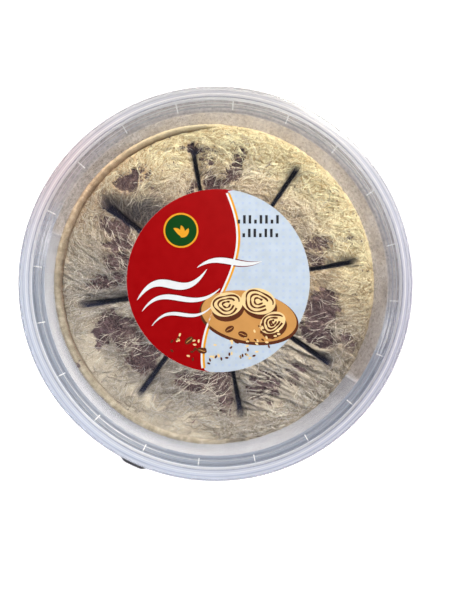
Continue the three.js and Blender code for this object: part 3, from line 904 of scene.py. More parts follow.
def makeCake():
    columns = halva["columns"]
    angle = np.linspace(0, 360, columns, endpoint=False)
    ca, sa = np.cos(np.radians(angle)), np.sin(np.radians(angle))
    edge = topEdge(angle)
    into = halva["gap"] + halva["intoWall"]
    # rings of points: wide apart under the label, closer where the top is seen, and closest at the edge
    shares = np.concatenate([np.linspace(0.02, 0.5, 10), np.linspace(0.507, 1, 72)])
    rows = [share * (edge - 3.0) for share in shares]
    insets = (2.8, 2.6, 2.4, 2.2, 2.0, 1.75, 1.5, 1.25, 1.0, 0.75, 0.5, 0.3, 0.12, 0)
    rows += [edge - inset for inset in insets]
    points = []
    for r in rows:
        x, y = r * ca, r * sa
        push = into * smooth(r, edge - 0.3, edge)
        points.append(np.stack([(r + push) * ca, (r + push) * sa, topOfHalva(x, y)], axis=-1))
    brim = points[-1][:, 2]
    base = floorTop - halva["intoWall"]
    bend = tub["corner"] - tub["wall"]
    for t in np.linspace(0.05, 1, 12):
        z = brim + (base + bend + 0.5 - brim) * t
        r = wallInner(z) + halva["intoWall"]
        points.append(np.stack([r * ca, r * sa, z], axis=-1))
    centre = tub["footOuter"], tub["corner"] + tub["footLift"]
    for r, z in arc(*centre, bend + halva["intoWall"], -tub["draft"] - 4, -90, 5):
        points.append(np.stack([r * ca, r * sa, np.full(columns, z)], axis=-1))
    for r in (30, 4):
        points.append(np.stack([r * ca, r * sa, np.full(columns, base)], axis=-1))
    total = len(points) * columns
    middle = [[0, 0, float(topOfHalva(np.zeros(1), np.zeros(1))[0])], [0, 0, base]]
    faces = gridFaces(len(points), columns)
    last = total - columns
    faces += [[total, k, (k + 1) % columns] for k in range(columns)]
    faces += [[total + 1, last + (k + 1) % columns, last + k] for k in range(columns)]
    return newPiece("halvaCake", np.concatenate(points + [middle]), faces, 70)


def makeBlade(at, reach, mouth, seed):  # what pressed one score, with crumbly sides and a softer far end
    level, deep, thin = halva["level"], halva["scoreDepth"], halva["scoreFoot"]
    inner, slope = halva["scoreInner"], halva["scoreSlope"]
    narrow, wide = halva["scoreTaper"]
    top = level + deep
    rings = []
    for t in np.linspace(0, 1, 64):
        soft = smooth(t, 0.9, 1)
        bottom = level - deep * (1 - 0.35 * soft)
        left, right = [], []
        for share in (*np.linspace(0, 1, 12) ** 1.2 * 0.62, 1):
            z = bottom + (top - bottom) * share
            opened = min(1.15, max(0.0, (z - level + deep) / deep)) ** 0.45
            half = (thin + (mouth / 2 - thin) * opened) * (narrow + (wide - narrow) * t) * (1 - 0.2 * soft)
            x = inner + (reach + (z - level) * slope - inner) * t
            ragged = 0.2 * min(1, (z - bottom) / 1.5) * (z < level + 3)
            left.append((x, half + ragged * float(layered(x / 1.1, z / 0.9, seed)), z))
            right.append((x, -half - ragged * float(layered(x / 1.1, z / 0.9, seed + 5)), z))
        rings.append(right + left[::-1])
    points = spin(np.array(rings).reshape(-1, 3), at)
    return newPiece("blade", points, loftFaces(len(rings), len(rings[0])))


# how pale the cream is at some angles round the cake, 1 for pure cream and 0 for the greyest
paleTurns = [
    (0, 0.5), (20, 0.9), (40, 1.0), (95, 1.0), (115, 0.75), (150, 0.35), (185, 0.25), (205, 0.25),
    (230, 0.35), (250, 0.45), (285, 0.55), (310, 0.45), (325, 0.25), (345, 0.2), (360, 0.5),
]


def paleness(x, y):
    r, angle = polar(x, y)
    at, shares = zip(*paleTurns)
    pure = np.interp(angle, at, shares)
    pure = pure + 0.3 * (1.15 - pure) * layered(x / 7, y / 7, 85)
    # painted shade: the cream is greyer near the label on the light's side
    pure = pure - 0.6 * (1 - smooth(r, 33, 44)) * (1 - coolness(angle))
    return np.clip(pure, 0, 1) * (1 - 0.9 * patches(greyPatches, x, y))


def byScore(x, y):        # painted shade: the edges of the scores are darkened too, most of all at their ends
    r, angle = polar(x, y)
    distance, end, _ = fromScore(r, angle)
    wide = 0.7 + 0.8 * smooth(r, end - 12, end - 1)
    return 0.8 * np.exp(-((distance / wide) ** 2)) * (1 - smooth(r, end - 0.5, end + 1.5))


def coolness(angle):      # 1 on the side away from the light, where painted shade goes
    return 1 - smooth(np.cos(np.radians(angle - 68)), -0.45, 0.45)


def marble(piece):
    x, y, z = places(piece)
    r, angle = polar(x, y)
    edge = topEdge(angle)
    top = topOfHalva(x, y, fine=False)
    # 1 on the cake's side and base; then the walls of the scores, painted with shade
    deepOnSide = smooth(top - z, 2.5, 5) * np.where(z < 15, 1, smooth(r, edge - 4, edge - 2))
    distance, end, _ = fromScore(r, angle)
    cut = (top - z > 1.3 - 0.9 * smooth(r, end - 6, end - 1)) & (r < end + 3) & (distance < 2.5)
    tell(piece, "cocoa", cocoaAt(x, y) * (1 - deepOnSide))
    tell(piece, "side", deepOnSide)
    combed = combedAt(x, y)
    streaks = (0.5 * broadStreaks(x, y) + 0.6 * fineStreaks(x, y)) * (1 - combed)
    tell(piece, "streaks", streaks + combed * combedStreaks(x, y))
    tell(piece, "bare", np.maximum(bareAt(x, y), 0.3 * glowAt(x, y)))
    tell(piece, "cut", np.maximum(cut * smooth(top - z, 0.2, 1.7), byScore(x, y)))
    foot, rope = edge - ropeWidth(angle), ropeShare(angle)
    tell(piece, "rope", rope * smooth(r, foot - 0.2, foot + 0.3) * (1 - deepOnSide))
    tell(piece, "crease", creaseAt(r, angle, foot, 0.3))
    tell(piece, "tan", bump(angle, 130, 30) * smooth(r, 38, 47) * (1 - deepOnSide))
    tell(piece, "folds", 0.5 + 0.5 * ropeFolds(r, angle))
    tell(piece, "pale", paleness(x, y))
    tell(piece, "cool", coolness(angle))
    tell(piece, "paintedShade", paintedShadeAt(x, y) * (1 - deepOnSide))
    tell(piece, "glow", glowAt(x, y) * (1 - deepOnSide))
    direction = flowAngle(x, y)
    flow = piece.data.attributes.new("flow", "FLOAT_VECTOR", "POINT")
    ways = np.stack([np.cos(direction), np.sin(direction), np.zeros(len(x))], axis=-1)
    flow.data.foreach_set("vector", ways.astype(np.float32).reshape(-1))


halvaColours = {
    "cream": paint(252, 240, 208),
    "creamShade": paint(118, 96, 72),
    "kneaded": (0.62, 0.57, 0.53, 1.0),  # what the cream's colour is multiplied by where it is less pale: cocoa kneaded in, greyer stretches round the cake, and painted shade near the label
    "kneadedCool": (0.56, 0.56, 0.59, 1.0),
    "coolSide": (0.73, 0.76, 0.87, 1.0),  # and what by, as painted shade, on the side away from the light; kneadedCool is the kneaded tint there
    # painted light along the bright edge, from its shaded tone to its bright one
    "glow": paint(255, 252, 218),
    "glowShade": paint(192, 166, 116),
    "tan": (1.08, 0.96, 0.93, 1.0),
    "cocoa": paint(124, 101, 98),
    # cocoa painted with shade away from the light
    "cocoaCool": paint(100, 80, 87),
    "cocoaShade": paint(38, 26, 34),
    # painted shade in the dark spots
    "paintedShade": paint(44, 50, 66),
    # painted shade in the scores and along their edges
    "paintedCutShade": paint(8, 14, 44),
    "rope": paint(242, 226, 196),
    "ropeShade": paint(150, 130, 102),
    "ropeCool": (0.46, 0.50, 0.56, 1.0),  # what the rope's colour is multiplied by, as painted shade, away from the light
    # painted shade along the rope's crease
    "crease": paint(104, 78, 56),
}

halvaGrain = {
    "grain": 2600.0,         # scales of the noises
    "blots": 520.0,
    "swirls": 62.0,          # the marbling on the cake's side
    "smears": 420.0,
    "flattened": (1, 1, 2.2),  # both are flatter than they are wide
    "marbled": (0.51, 0.58),
    "longHairs": (0.0017, 0.00022, 0.0018, 0.8, 0.0),  # cell, width, length, spread and shift
    "shortHairs": (0.0011, 0.00018, 0.0012, 1.2, 0.013),
    "bumps": (0.8, 0.0004),  # strength and height
}


def felted(tree, place, flow, cell, width, length, spread, shift):  # short streaks, roughly along the flow
    moved = vectors(tree, "ADD", place, (shift, shift * 0.7, 0))
    cells = add(tree, "TexVoronoi", {"Vector": moved, "Scale": 1 / cell})
    inCell = vectors(tree, "SUBTRACT", moved, cells.outputs["Position"])
    across = vectors(tree, "CROSS_PRODUCT", (0, 0, 1), flow)
    along = vectors(tree, "DOT_PRODUCT", inCell, flow, output="Value")
    aside = vectors(tree, "DOT_PRODUCT", inCell, across, output="Value")
    local = add(tree, "CombineXYZ", {0: along, 1: aside}).outputs[0]
    draw = add(tree, "SeparateColor", {0: cells.outputs["Color"]}).outputs[0]
    turn = ramp(tree, draw, 0.0, 1.0, -spread, spread)
    spun = add(tree, "VectorRotate", {"Vector": local, "Angle": turn}, rotation_type="Z_AXIS").outputs[0]
    thin = vectors(tree, "MULTIPLY", spun, (1 / length, 1 / width, 1 / width))
    apart = vectors(tree, "MULTIPLY_ADD", cells.outputs["Color"], (20, 20, 20), thin)
    return cloudy(tree, apart, 1.0, 1.0)


def kneadedAndLit(tree, colour, tone):  # greyer where less pale, with painted shade away from the light and in dark spots, and painted light at the bright edge
    pale, glow, cool, paintedShade = (told(tree, key) for key in ("pale", "glow", "cool", "paintedShade"))
    kneaded = mixColour(tree, cool, halvaColours["kneaded"], halvaColours["kneadedCool"])
    greyer = mixColour(tree, 1.0, colour, kneaded, "MULTIPLY")
    colour = mixColour(tree, pale, greyer, colour)
    colour = mixColour(tree, cool, colour, halvaColours["coolSide"], "MULTIPLY")
    colour = mixColour(tree, times(tree, paintedShade, 0.9), colour, halvaColours["paintedShade"])
    lit = mixColour(tree, tone, halvaColours["glowShade"], halvaColours["glow"])
    return mixColour(tree, times(tree, glow, 0.92), colour, lit)


def halvaMaterial():
    made, tree = newMaterial("halvaPressed")
    place, flow = add(tree, "TexCoord").outputs["Object"], told(tree, "flow", "Vector")
    side, bare, cool, glow = (told(tree, key) for key in ("side", "bare", "cool", "glow"))
    grain = cloudy(tree, place, halvaGrain["grain"], 3.0)
    blot = cloudy(tree, place, halvaGrain["blots"], 3.0)
    laid = vectors(tree, "MULTIPLY", place, halvaGrain["flattened"])
    swirls = cloudy(tree, laid, halvaGrain["swirls"], 6.0, Roughness=0.6, Distortion=1.6)
    smear = cloudy(tree, laid, halvaGrain["smears"], 4.0, Distortion=0.6)
    hairs = most(tree, felted(tree, place, flow, *halvaGrain["longHairs"]),
                 felted(tree, place, flow, *halvaGrain["shortHairs"]))

    # how far each place is lifted out of the painted shade
    lift = plus(tree, ramp(tree, told(tree, "streaks"), -1.6, 1.4, 0.0, 0.55),
                times(tree, ramp(tree, hairs, 0.42, 0.68), 0.5))
    lift = plus(tree, lift, ramp(tree, grain, 0.3, 0.7, -0.12, 0.12), clamp=True)
    # painted shade: darker where threads lie thick, lighter where few lie and along the lit edge
    lift = maths(tree, "MULTIPLY_ADD", lift, ramp(tree, bare, 0.0, 1.0, 0.74, 0.5), times(tree, bare, 0.42))
    onSide = maths(tree, "SUBTRACT", ramp(tree, smear, 0.3, 0.7, 0.45, 1.0), lift)
    lift = maths(tree, "MULTIPLY_ADD", onSide, side, lift)
    cream = mixColour(tree, lift, halvaColours["creamShade"], halvaColours["cream"])
    cream = kneadedAndLit(tree, cream, lift)

    folds = times(tree, told(tree, "folds"), ramp(tree, blot, 0.3, 0.7, 0.3, 1.5), clamp=True)
    rope = mixColour(tree, folds, halvaColours["ropeShade"], halvaColours["rope"])
    # painted light on the rope at the bright edge, and painted shade on it away from the light
    rope = mixColour(tree, times(tree, glow, 0.7), rope, halvaColours["glow"])
    ropeTint = mixColour(tree, cool, (1.0, 1.0, 1.0, 1.0), halvaColours["ropeCool"])
    rope = mixColour(tree, 1.0, rope, ropeTint, "MULTIPLY")
    cream = mixColour(tree, times(tree, told(tree, "rope"), 0.85), cream, rope)
    cream = mixColour(tree, told(tree, "tan"), cream, halvaColours["tan"], "MULTIPLY")
    cream = mixColour(tree, times(tree, told(tree, "crease"), 0.75), cream, halvaColours["crease"])

    rough = times(tree, ramp(tree, blot, 0.3, 0.7), ramp(tree, grain, 0.3, 0.7, 0.5, 1.2), clamp=True)
    rough = times(tree, rough, ramp(tree, lift, 0.0, 1.0, 0.4, 1.3), clamp=True)
    cocoaTone = mixColour(tree, cool, halvaColours["cocoa"], halvaColours["cocoaCool"])
    dark = mixColour(tree, rough, halvaColours["cocoaShade"], cocoaTone)
    cocoa = most(tree, told(tree, "cocoa"), times(tree, side, ramp(tree, swirls, *halvaGrain["marbled"])))
    share = plus(tree, cocoa, ramp(tree, blot, 0.25, 0.75, 0.2, -0.2))
    share = plus(tree, share, ramp(tree, hairs, 0.3, 0.7, 0.16, -0.2))
    colour = mixColour(tree, ramp(tree, share, 0.36, 0.58), cream, dark)
    # painted shade in and beside the scores
    colour = mixColour(tree, ramp(tree, told(tree, "cut"), 0.0, 0.85), colour, halvaColours["paintedCutShade"])

    bumps = plus(tree, hairs, plus(tree, times(tree, grain, 0.5), blot))
    strength, depth = halvaGrain["bumps"]
    normal = add(tree, "Bump", {"Strength": strength, "Distance": depth, "Height": bumps}).outputs[0]
    show(tree, add(tree, "BsdfPrincipled", {
        "Base Color": colour,
        "Roughness": ramp(tree, grain, 0.3, 0.7, 0.6, 0.85),
        "Specular IOR Level": 0.3,
        "Normal": normal,
    }))
    return made


halvaCake = makeCake()
for number, (at, reach, mouth, _, _) in enumerate(scores):
    combine(halvaCake, makeBlade(at, reach, mouth, 90 + 11 * number), "DIFFERENCE", 70)
marble(halvaCake)
halvaCake.data.materials.append(halvaMaterial())
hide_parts("halva")
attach(halvaCake, "root")
print("halva cake:", sum(len(p.vertices) - 2 for p in halvaCake.data.polygons), "triangles")


# loose threads of halva: thin tubes that lie on the cake in tufts

# Each kind: how many tufts, and threads in each; their length, radius and lift off the cake in millimetres;
# points along a thread; how it curls; how far a tuft turns from the flow, in degrees; how far apart its
# threads start; how likely it lies over cocoa and over cream; how far it keeps off the edge; the radius from
# which it gets rare; and how much it shuns cocoa.
threadKinds = {
    "creamStrands": {
        "tufts": 900, "each": 5, "length": (3.0, 8.0), "radius": (0.08, 0.15), "lift": (0.05, 0.5),
        "points": 9, "curl": 0.08, "spread": 22, "apart": 0.7, "overCocoa": 0.2, "overCream": 0.8,
        "edge": 2.0, "inner": 40, "shuns": 1.0, "shade": paint(158, 132, 104), "light": paint(255, 250, 234),
    },
    "creamFelt": {
        "tufts": 1100, "each": 6, "length": (1.8, 4.4), "radius": (0.12, 0.2), "lift": (0.0, 0.35),
        "points": 6, "curl": 0.2, "spread": 30, "apart": 0.5, "overCocoa": 0.05, "overCream": 1.0,
        "edge": 0.3, "inner": 60, "shuns": 1.6, "shade": paint(124, 98, 70), "light": paint(255, 249, 224),
    },
    "creamFloss": {
        "tufts": 2150, "each": 3, "length": (0.8, 2.4), "radius": (0.08, 0.14), "lift": (0.0, 0.25),
        "points": 6, "curl": 0.4, "spread": 55, "apart": 0.4, "overCocoa": 0.1, "overCream": 1.0,
        "edge": 0.2, "inner": 60, "shuns": 1.2, "shade": paint(142, 114, 84), "light": paint(255, 247, 220),
    },
    "creamWool": {
        "tufts": 3100, "each": 3, "length": (1.2, 3.0), "radius": (0.07, 0.12), "lift": (0.05, 0.4),
        "points": 4, "curl": 0.3, "spread": 38, "apart": 0.5, "overCocoa": 0.02, "overCream": 1.0,
        "edge": 0.3, "inner": 60, "shuns": 1.4, "shade": paint(132, 106, 76), "light": paint(255, 251, 232),
    },
    "paleTrails": {
        "tufts": 270, "each": 4, "length": (2.0, 6.5), "radius": (0.06, 0.11), "lift": (0.1, 0.45),
        "points": 9, "curl": 0.1, "spread": 17, "apart": 0.7, "overCocoa": 1.0, "overCream": 0.3,
        "edge": 4.0, "inner": 44, "shuns": 0, "shade": paint(150, 142, 130), "light": paint(250, 245, 232),
    },
    "cocoaFloss": {
        "tufts": 640, "each": 5, "length": (0.9, 2.6), "radius": (0.08, 0.15), "lift": (0.0, 0.3),
        "points": 6, "curl": 0.4, "spread": 50, "apart": 0.5, "overCocoa": 1.0, "overCream": 0.015,
        "edge": 0.8, "inner": 60, "shuns": 0, "shade": paint(46, 32, 40), "light": paint(122, 97, 101),
    },
}


def feltEnds(angle, margin):  # radius that loose threads and crumbs stay inside of
    return topEdge(angle) - ropeShare(angle) * (ropeWidth(angle) + 0.1) - margin


def scatterOnTop(count, overCocoa, overCream, margin, inner=60):
    kept = np.zeros((0, 2))
    fewer, at, wide, out = halva["sparse"]
    while len(kept) < count:
        r = halva["reach"] * np.sqrt(rng.random(count * 2))
        angle = 360 * rng.random(count * 2)
        x, y = r * np.cos(np.radians(angle)), r * np.sin(np.radians(angle))
        wanted = overCream + (overCocoa - overCream) * smooth(cocoaAt(x, y), 0.25, 0.6)
        wanted = wanted * (0.3 + 0.7 * smooth(r, 24, 27)) * (1 - 0.8 * smooth(r, inner, inner + 8))
        wanted = wanted * (1 - 0.8 * bareAt(x, y)) * (1 - 0.88 * paintedShadeAt(x, y))
        wanted = wanted * (1 - fewer * bump(angle, at, wide) * (1 - smooth(r, *out)))
        fits = (rng.random(count * 2) < wanted) & (r < feltEnds(angle, margin))
        kept = np.concatenate([kept, np.stack([x, y], axis=-1)[fits]])
    return kept[:count]


def walkThreads(kind):    # the line of each thread, seen from above
    centres = scatterOnTop(kind["tufts"], kind["overCocoa"], kind["overCream"], kind["edge"], kind["inner"])
    tuftTurn = np.radians(rng.normal(0, kind["spread"], len(centres)))
    tuftCurl = rng.normal(0, kind["curl"], len(centres))
    centres, tuftTurn, tuftCurl = (np.repeat(a, kind["each"], axis=0) for a in (centres, tuftTurn, tuftCurl))
    n, k = len(centres), kind["points"]
    start = centres + rng.normal(0, kind["apart"], centres.shape)
    step = rng.uniform(*kind["length"], n) / (k - 1)
    heading = flowAngle(start[:, 0], start[:, 1]) + tuftTurn + np.radians(rng.normal(0, 13, n))
    heading = heading + math.pi * (rng.random(n) < 0.5)
    curl = tuftCurl + rng.normal(0, kind["curl"] * 0.5, n)
    path = np.zeros((n, k, 2))
    path[:, 0] = start
    for i in range(1, k):
        heading = heading + curl * step + rng.normal(0, 0.13, n)
        path[:, i] = path[:, i - 1] + step[:, None] * np.stack([np.cos(heading), np.sin(heading)], axis=-1)
    r, angle = polar(path[..., 0], path[..., 1])
    distance, end, _ = fromScore(r, angle)
    # a thread goes if it would bridge a score, leave the cake or hide the cocoa
    crosses = ((distance < 0.45 + 0.5 * r / end) & (r < end + 0.4)).any(axis=1)
    outside = (r > feltEnds(angle, 0.1)).any(axis=1)
    hides = cocoaAt(path[..., 0], path[..., 1]).mean(axis=1) * kind["shuns"] > rng.uniform(0.3, 0.7, n)
    kept = ~(crosses | outside | hides)
    tuftTone = rng.normal(0.55, 0.2, len(centres) // kind["each"])
    tone = np.repeat(tuftTone, kind["each"]) + rng.normal(0, 0.36, n)
    return path[kept], np.clip(tone[kept], 0, 1)


def tellPlace(piece, x, y, points):  # what colours a loose piece, from where it lies
    rows = {"pale": paleness(x, y), "glow": glowAt(x, y), "cool": coolness(polar(x, y)[1]),
            "paintedShade": 0.86 * paintedShadeAt(x, y)}
    for name, values in rows.items():
        tell(piece, name, np.repeat(values, points))


def makeThreads(name, kind):
    path, tone = walkThreads(kind)
    n, k, sides = *path.shape[:2], 3
    x, y = path[..., 0], path[..., 1]
    t = np.linspace(0, 1, k)
    radius, lift = rng.uniform(*kind["radius"], n), rng.uniform(*kind["lift"], n)
    z = topOfHalva(x, y) + np.sin(math.pi * t) ** 0.7 * lift[:, None] - 0.04
    line = np.stack([x, y, z], axis=-1)
    ahead = np.gradient(line, axis=1)
    ahead /= np.linalg.norm(ahead, axis=-1, keepdims=True)
    aside = np.cross(ahead, [0, 0, 1.0])
    aside /= np.linalg.norm(aside, axis=-1, keepdims=True)
    above = np.cross(aside, ahead)
    thick = radius[:, None] * (0.35 + 0.65 * np.sin(math.pi * np.clip(t, 0.06, 0.94)) ** 0.5)
    turns = np.arange(sides) * 2 * math.pi / sides + math.pi / 2
    ring = np.cos(turns)[:, None] * aside[:, :, None] + np.sin(turns)[:, None] * above[:, :, None]
    points = (line[:, :, None] + ring * thick[:, :, None, None]).reshape(-1, 3)
    first = np.arange(n)[:, None, None] * k * sides + np.arange(k - 1)[None, :, None] * sides
    c = np.arange(sides)
    d = (c + 1) % sides
    quads = np.stack([first + c, first + d, first + sides + d, first + sides + c], axis=-1).reshape(-1, 4)
    caps = np.concatenate([first[:, 0] + [2, 1, 0], first[:, -1] + sides + [0, 1, 2]])
    piece = newPiece(name, points, quads.tolist() + caps.tolist(), 180)
    tell(piece, "tone", np.repeat(tone, k * sides))
    tell(piece, "cut", np.repeat(byScore(x, y).reshape(-1), sides))
    tellPlace(piece, x[:, 0], y[:, 0], k * sides)
    return piece


def threadMaterial(name, shade, light, cream):
    made, tree = newMaterial(name)
    grain = cloudy(tree, add(tree, "TexCoord").outputs["Object"], 1500.0, 2.0)
    mixed = plus(tree, times(tree, told(tree, "tone"), 0.7), times(tree, grain, 0.3))
    colour = mixColour(tree, mixed, shade, light)
    if cream:
        colour = kneadedAndLit(tree, colour, ramp(tree, mixed, 0.2, 0.72))
    show(tree, add(tree, "BsdfPrincipled", {
        "Base Color": mixColour(tree, told(tree, "cut"), colour, halvaColours["paintedCutShade"]),
        "Roughness": ramp(tree, grain, 0.3, 0.7, 0.5, 0.7),
        "Specular IOR Level": 0.4,
    }))
    return made


def layOnCake(piece, shade, light):
    piece.data.materials.append(threadMaterial(piece.name + "Finish", shade, light, "cream" in piece.name))
    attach(piece, "root")
    print(piece.name + ":", sum(len(p.vertices) - 2 for p in piece.data.polygons), "triangles")


for name, kind in threadKinds.items():
    layOnCake(makeThreads(name, kind), kind["shade"], kind["light"])


# crumbs

crumbKinds = {
    "creamCrumbs": {"count": 2600, "size": (0.1, 0.26), "overCocoa": 0.1, "overCream": 1.0, "edge": 0.4,
                    "shade": paint(196, 174, 130), "light": paint(250, 240, 208)},
    "cocoaCrumbs": {"count": 2400, "size": (0.14, 0.34), "overCocoa": 1.0, "overCream": 0.05, "edge": 0.6,
                    "shade": paint(44, 35, 40), "light": paint(140, 116, 110)},
}


def lump():               # a rough lump of twenty faces, about 1 in radius
    g = (1 + 5 ** 0.5) / 2
    corners = np.array([(s, t * g, 0) for s in (-1, 1) for t in (-1, 1)], float)
    corners = np.concatenate([corners, np.roll(corners, 1, axis=1), np.roll(corners, 2, axis=1)])
    corners /= np.linalg.norm(corners[0])
    faces = []
    for i in range(12):
        for j in range(i + 1, 12):
            for k in range(j + 1, 12):
                a, b, c = corners[i], corners[j], corners[k]
                if max(np.linalg.norm(a - b), np.linalg.norm(b - c), np.linalg.norm(c - a)) < 1.1:
                    outward = np.dot(np.cross(b - a, c - a), a + b + c) > 0
                    faces.append([i, j, k] if outward else [i, k, j])
    return corners, np.array(faces)


def makeCrumbs(name, kind):
    corners, faces = lump()
    centres = scatterOnTop(kind["count"], kind["overCocoa"], kind["overCream"], kind["edge"])
    r, angle = polar(centres[:, 0], centres[:, 1])
    distance, end, _ = fromScore(r, angle)
    centres = centres[(distance > 1.2) | (r > end + 0.5)]
    n = len(centres)
    size = rng.uniform(*kind["size"], n)[:, None, None]
    size = size * rng.uniform(0.6, 1.25, (n, 12, 1)) * rng.uniform(0.7, 1.2, (n, 1, 3))
    z = topOfHalva(centres[:, 0], centres[:, 1]) + size[:, 0, 0] * 0.3
    at = np.concatenate([centres, z[:, None]], axis=1)
    points = (at[:, None] + corners * size).reshape(-1, 3)
    every = (np.arange(n)[:, None, None] * 12 + faces).reshape(-1, 3)
    piece = newPiece(name, points, every.tolist(), 60)
    tell(piece, "tone", np.repeat(rng.random(n), 12))
    tell(piece, "cut", np.repeat(byScore(centres[:, 0], centres[:, 1]), 12))
    tellPlace(piece, centres[:, 0], centres[:, 1], 12)
    return piece


for name, kind in crumbKinds.items():
    layOnCake(makeCrumbs(name, kind), kind["shade"], kind["light"])


# labels

lidPaper = {
    "radius": 28.3,
    "centre": (0.7, 1.1),
    "bottom": 0.1,           # above the lid's panel
    "thickness": 0.2,
    "ink": 0.012,            # each printed field lies this far above the one before
}

inks = {
    "red": paint(146, 0, 5),
    "crimson": paint(110, 0, 6),
    "pale": paint(180, 194, 213),
    "white": paint(215, 220, 228),
    "paper": paint(203, 206, 214),
    "green": paint(10, 62, 20),
    "gold": paint(214, 150, 40),
    "tan": paint(190, 140, 82),
    "brown": paint(84, 44, 28),
    "seed": paint(226, 200, 150),
    "grey": paint(38, 38, 44),
}
dotInk = paint(164, 182, 214)  # fine dots in the pale field


def inkMaterial(name, colour, dotted=False):
    made, tree = newMaterial("ink" + name.capitalize())
    place = add(tree, "TexCoord").outputs["Object"]
    cloud, fibres = cloudy(tree, place, 300.0, 2.0), cloudy(tree, place, 1800.0, 2.0)
    shade = (*(c * 0.9 for c in colour[:3]), 1.0)
    tone = mixColour(tree, ramp(tree, cloud, 0.3, 0.7), shade, colour)
    if dotted:
        dots = add(tree, "TexVoronoi", {"Vector": place, "Scale": 480.0, "Randomness": 0.0},
                   voronoi_dimensions="2D").outputs["Distance"]
        tone = mixColour(tree, ramp(tree, dots, 0.16, 0.22, 0.8, 0.0), tone, dotInk)
    relief = add(tree, "Bump", {"Strength": 0.15, "Distance": 0.00005, "Height": fibres}).outputs[0]
    show(tree, add(tree, "BsdfPrincipled", {
        "Base Color": tone,
        "Roughness": ramp(tree, cloud, 0.3, 0.7, 0.42, 0.55),
        "Specular IOR Level": 0.07,
        "Normal": relief,
    }))
    return made


inkMaterials = {name: inkMaterial(name, colour, name == "pale") for name, colour in inks.items()}


def printed(name, points, faces, inkOfFace, sharpAngle):
    made = newPiece(name, points, faces, sharpAngle)
    used = sorted(set(inkOfFace))
    for ink in used:
        made.data.materials.append(inkMaterials[ink])
    made.data.polygons.foreach_set("material_index", [used.index(ink) for ink in inkOfFace])
    return made


class Sheet:              # collects flat printed shapes that become one piece

    def __init__(self):
        self.points, self.faces, self.inks = [], [], []

    def lay(self, corners, low, high, ink):
        start = len(self.points)
        points, faces = upright(corners, low, high)
        self.points += points
        self.faces += [[start + k for k in face] for face in faces]
        self.inks += [ink] * len(faces)


def ellipse(x, y, long, wide, turn=0, steps=28):
    a = np.linspace(0, 2 * math.pi, steps, endpoint=False)
    return spin(np.stack([long * np.cos(a), wide * np.sin(a)], axis=-1), turn) + (x, y)


def ribbon(path, widths):  # a band along a path, drawn as one outline
    path, widths = np.asarray(path, float), np.asarray(widths, float)
    ahead = np.gradient(path, axis=0)
    ahead /= np.linalg.norm(ahead, axis=1, keepdims=True)
    across = np.stack([-ahead[:, 1], ahead[:, 0]], axis=-1) * widths[:, None] / 2
    return np.concatenate([path - across, (path + across)[::-1]])


def swoosh(points, width, steps=40):  # a smooth curve through four points, thick in the middle
    p = np.asarray(points, float)
    t = np.linspace(0, 1, steps)[:, None]
    path = (1 - t) ** 3 * p[0] + 3 * t * (1 - t) ** 2 * p[1] + 3 * t * t * (1 - t) * p[2] + t ** 3 * p[3]
    return ribbon(path, 0.12 + width * np.sin(math.pi * t[:, 0]) ** 0.8)


lidPrint = {                 # millimetres from the label's middle
    "waveAt": 1.0,           # the wavy line between the red field and the pale one
    "waveDepth": 5.5,
    "line": 0.7,             # width of the gold line along it
    "seal": (-11.5, 15.5, 5.4),
    "plate": (9.5, -11.5, 15.5, 8.2, -10),
    "sweets": [(2.6, -7.4, 12, 5.0), (12.4, -6.4, -14, 5.4), (16.8, -13.0, 30, 4.2)],  # x, y, turn and size
    "beans": [(3.5, -15.0, 30), (7.6, -16.6, -20), (-9.0, -18.5, 40), (-5.0, -21.6, -15)],
    "seeds": 70,
    "dashes": [(6.0, 17.6, 8), (7.5, 13.4, 7)],  # x, y and how many in each row
}

# curves of white ribbon in the red field, four points and a width for each
ribbons = [
    ([(-25.0, -6.0), (-17.0, 6.5), (-12.0, -9.0), (-3.5, 3.5)], 2.3),
    ([(-23.5, -9.5), (-16.0, 1.0), (-9.0, -11.5), (0.5, -2.5)], 1.5),
    ([(-20.5, -14.0), (-14.0, -5.5), (-9.0, -15.0), (-2.0, -8.0)], 1.0),
    ([(-6.5, 4.0), (1.0, 9.5), (5.5, 3.0), (13.5, 6.0)], 1.7),
]


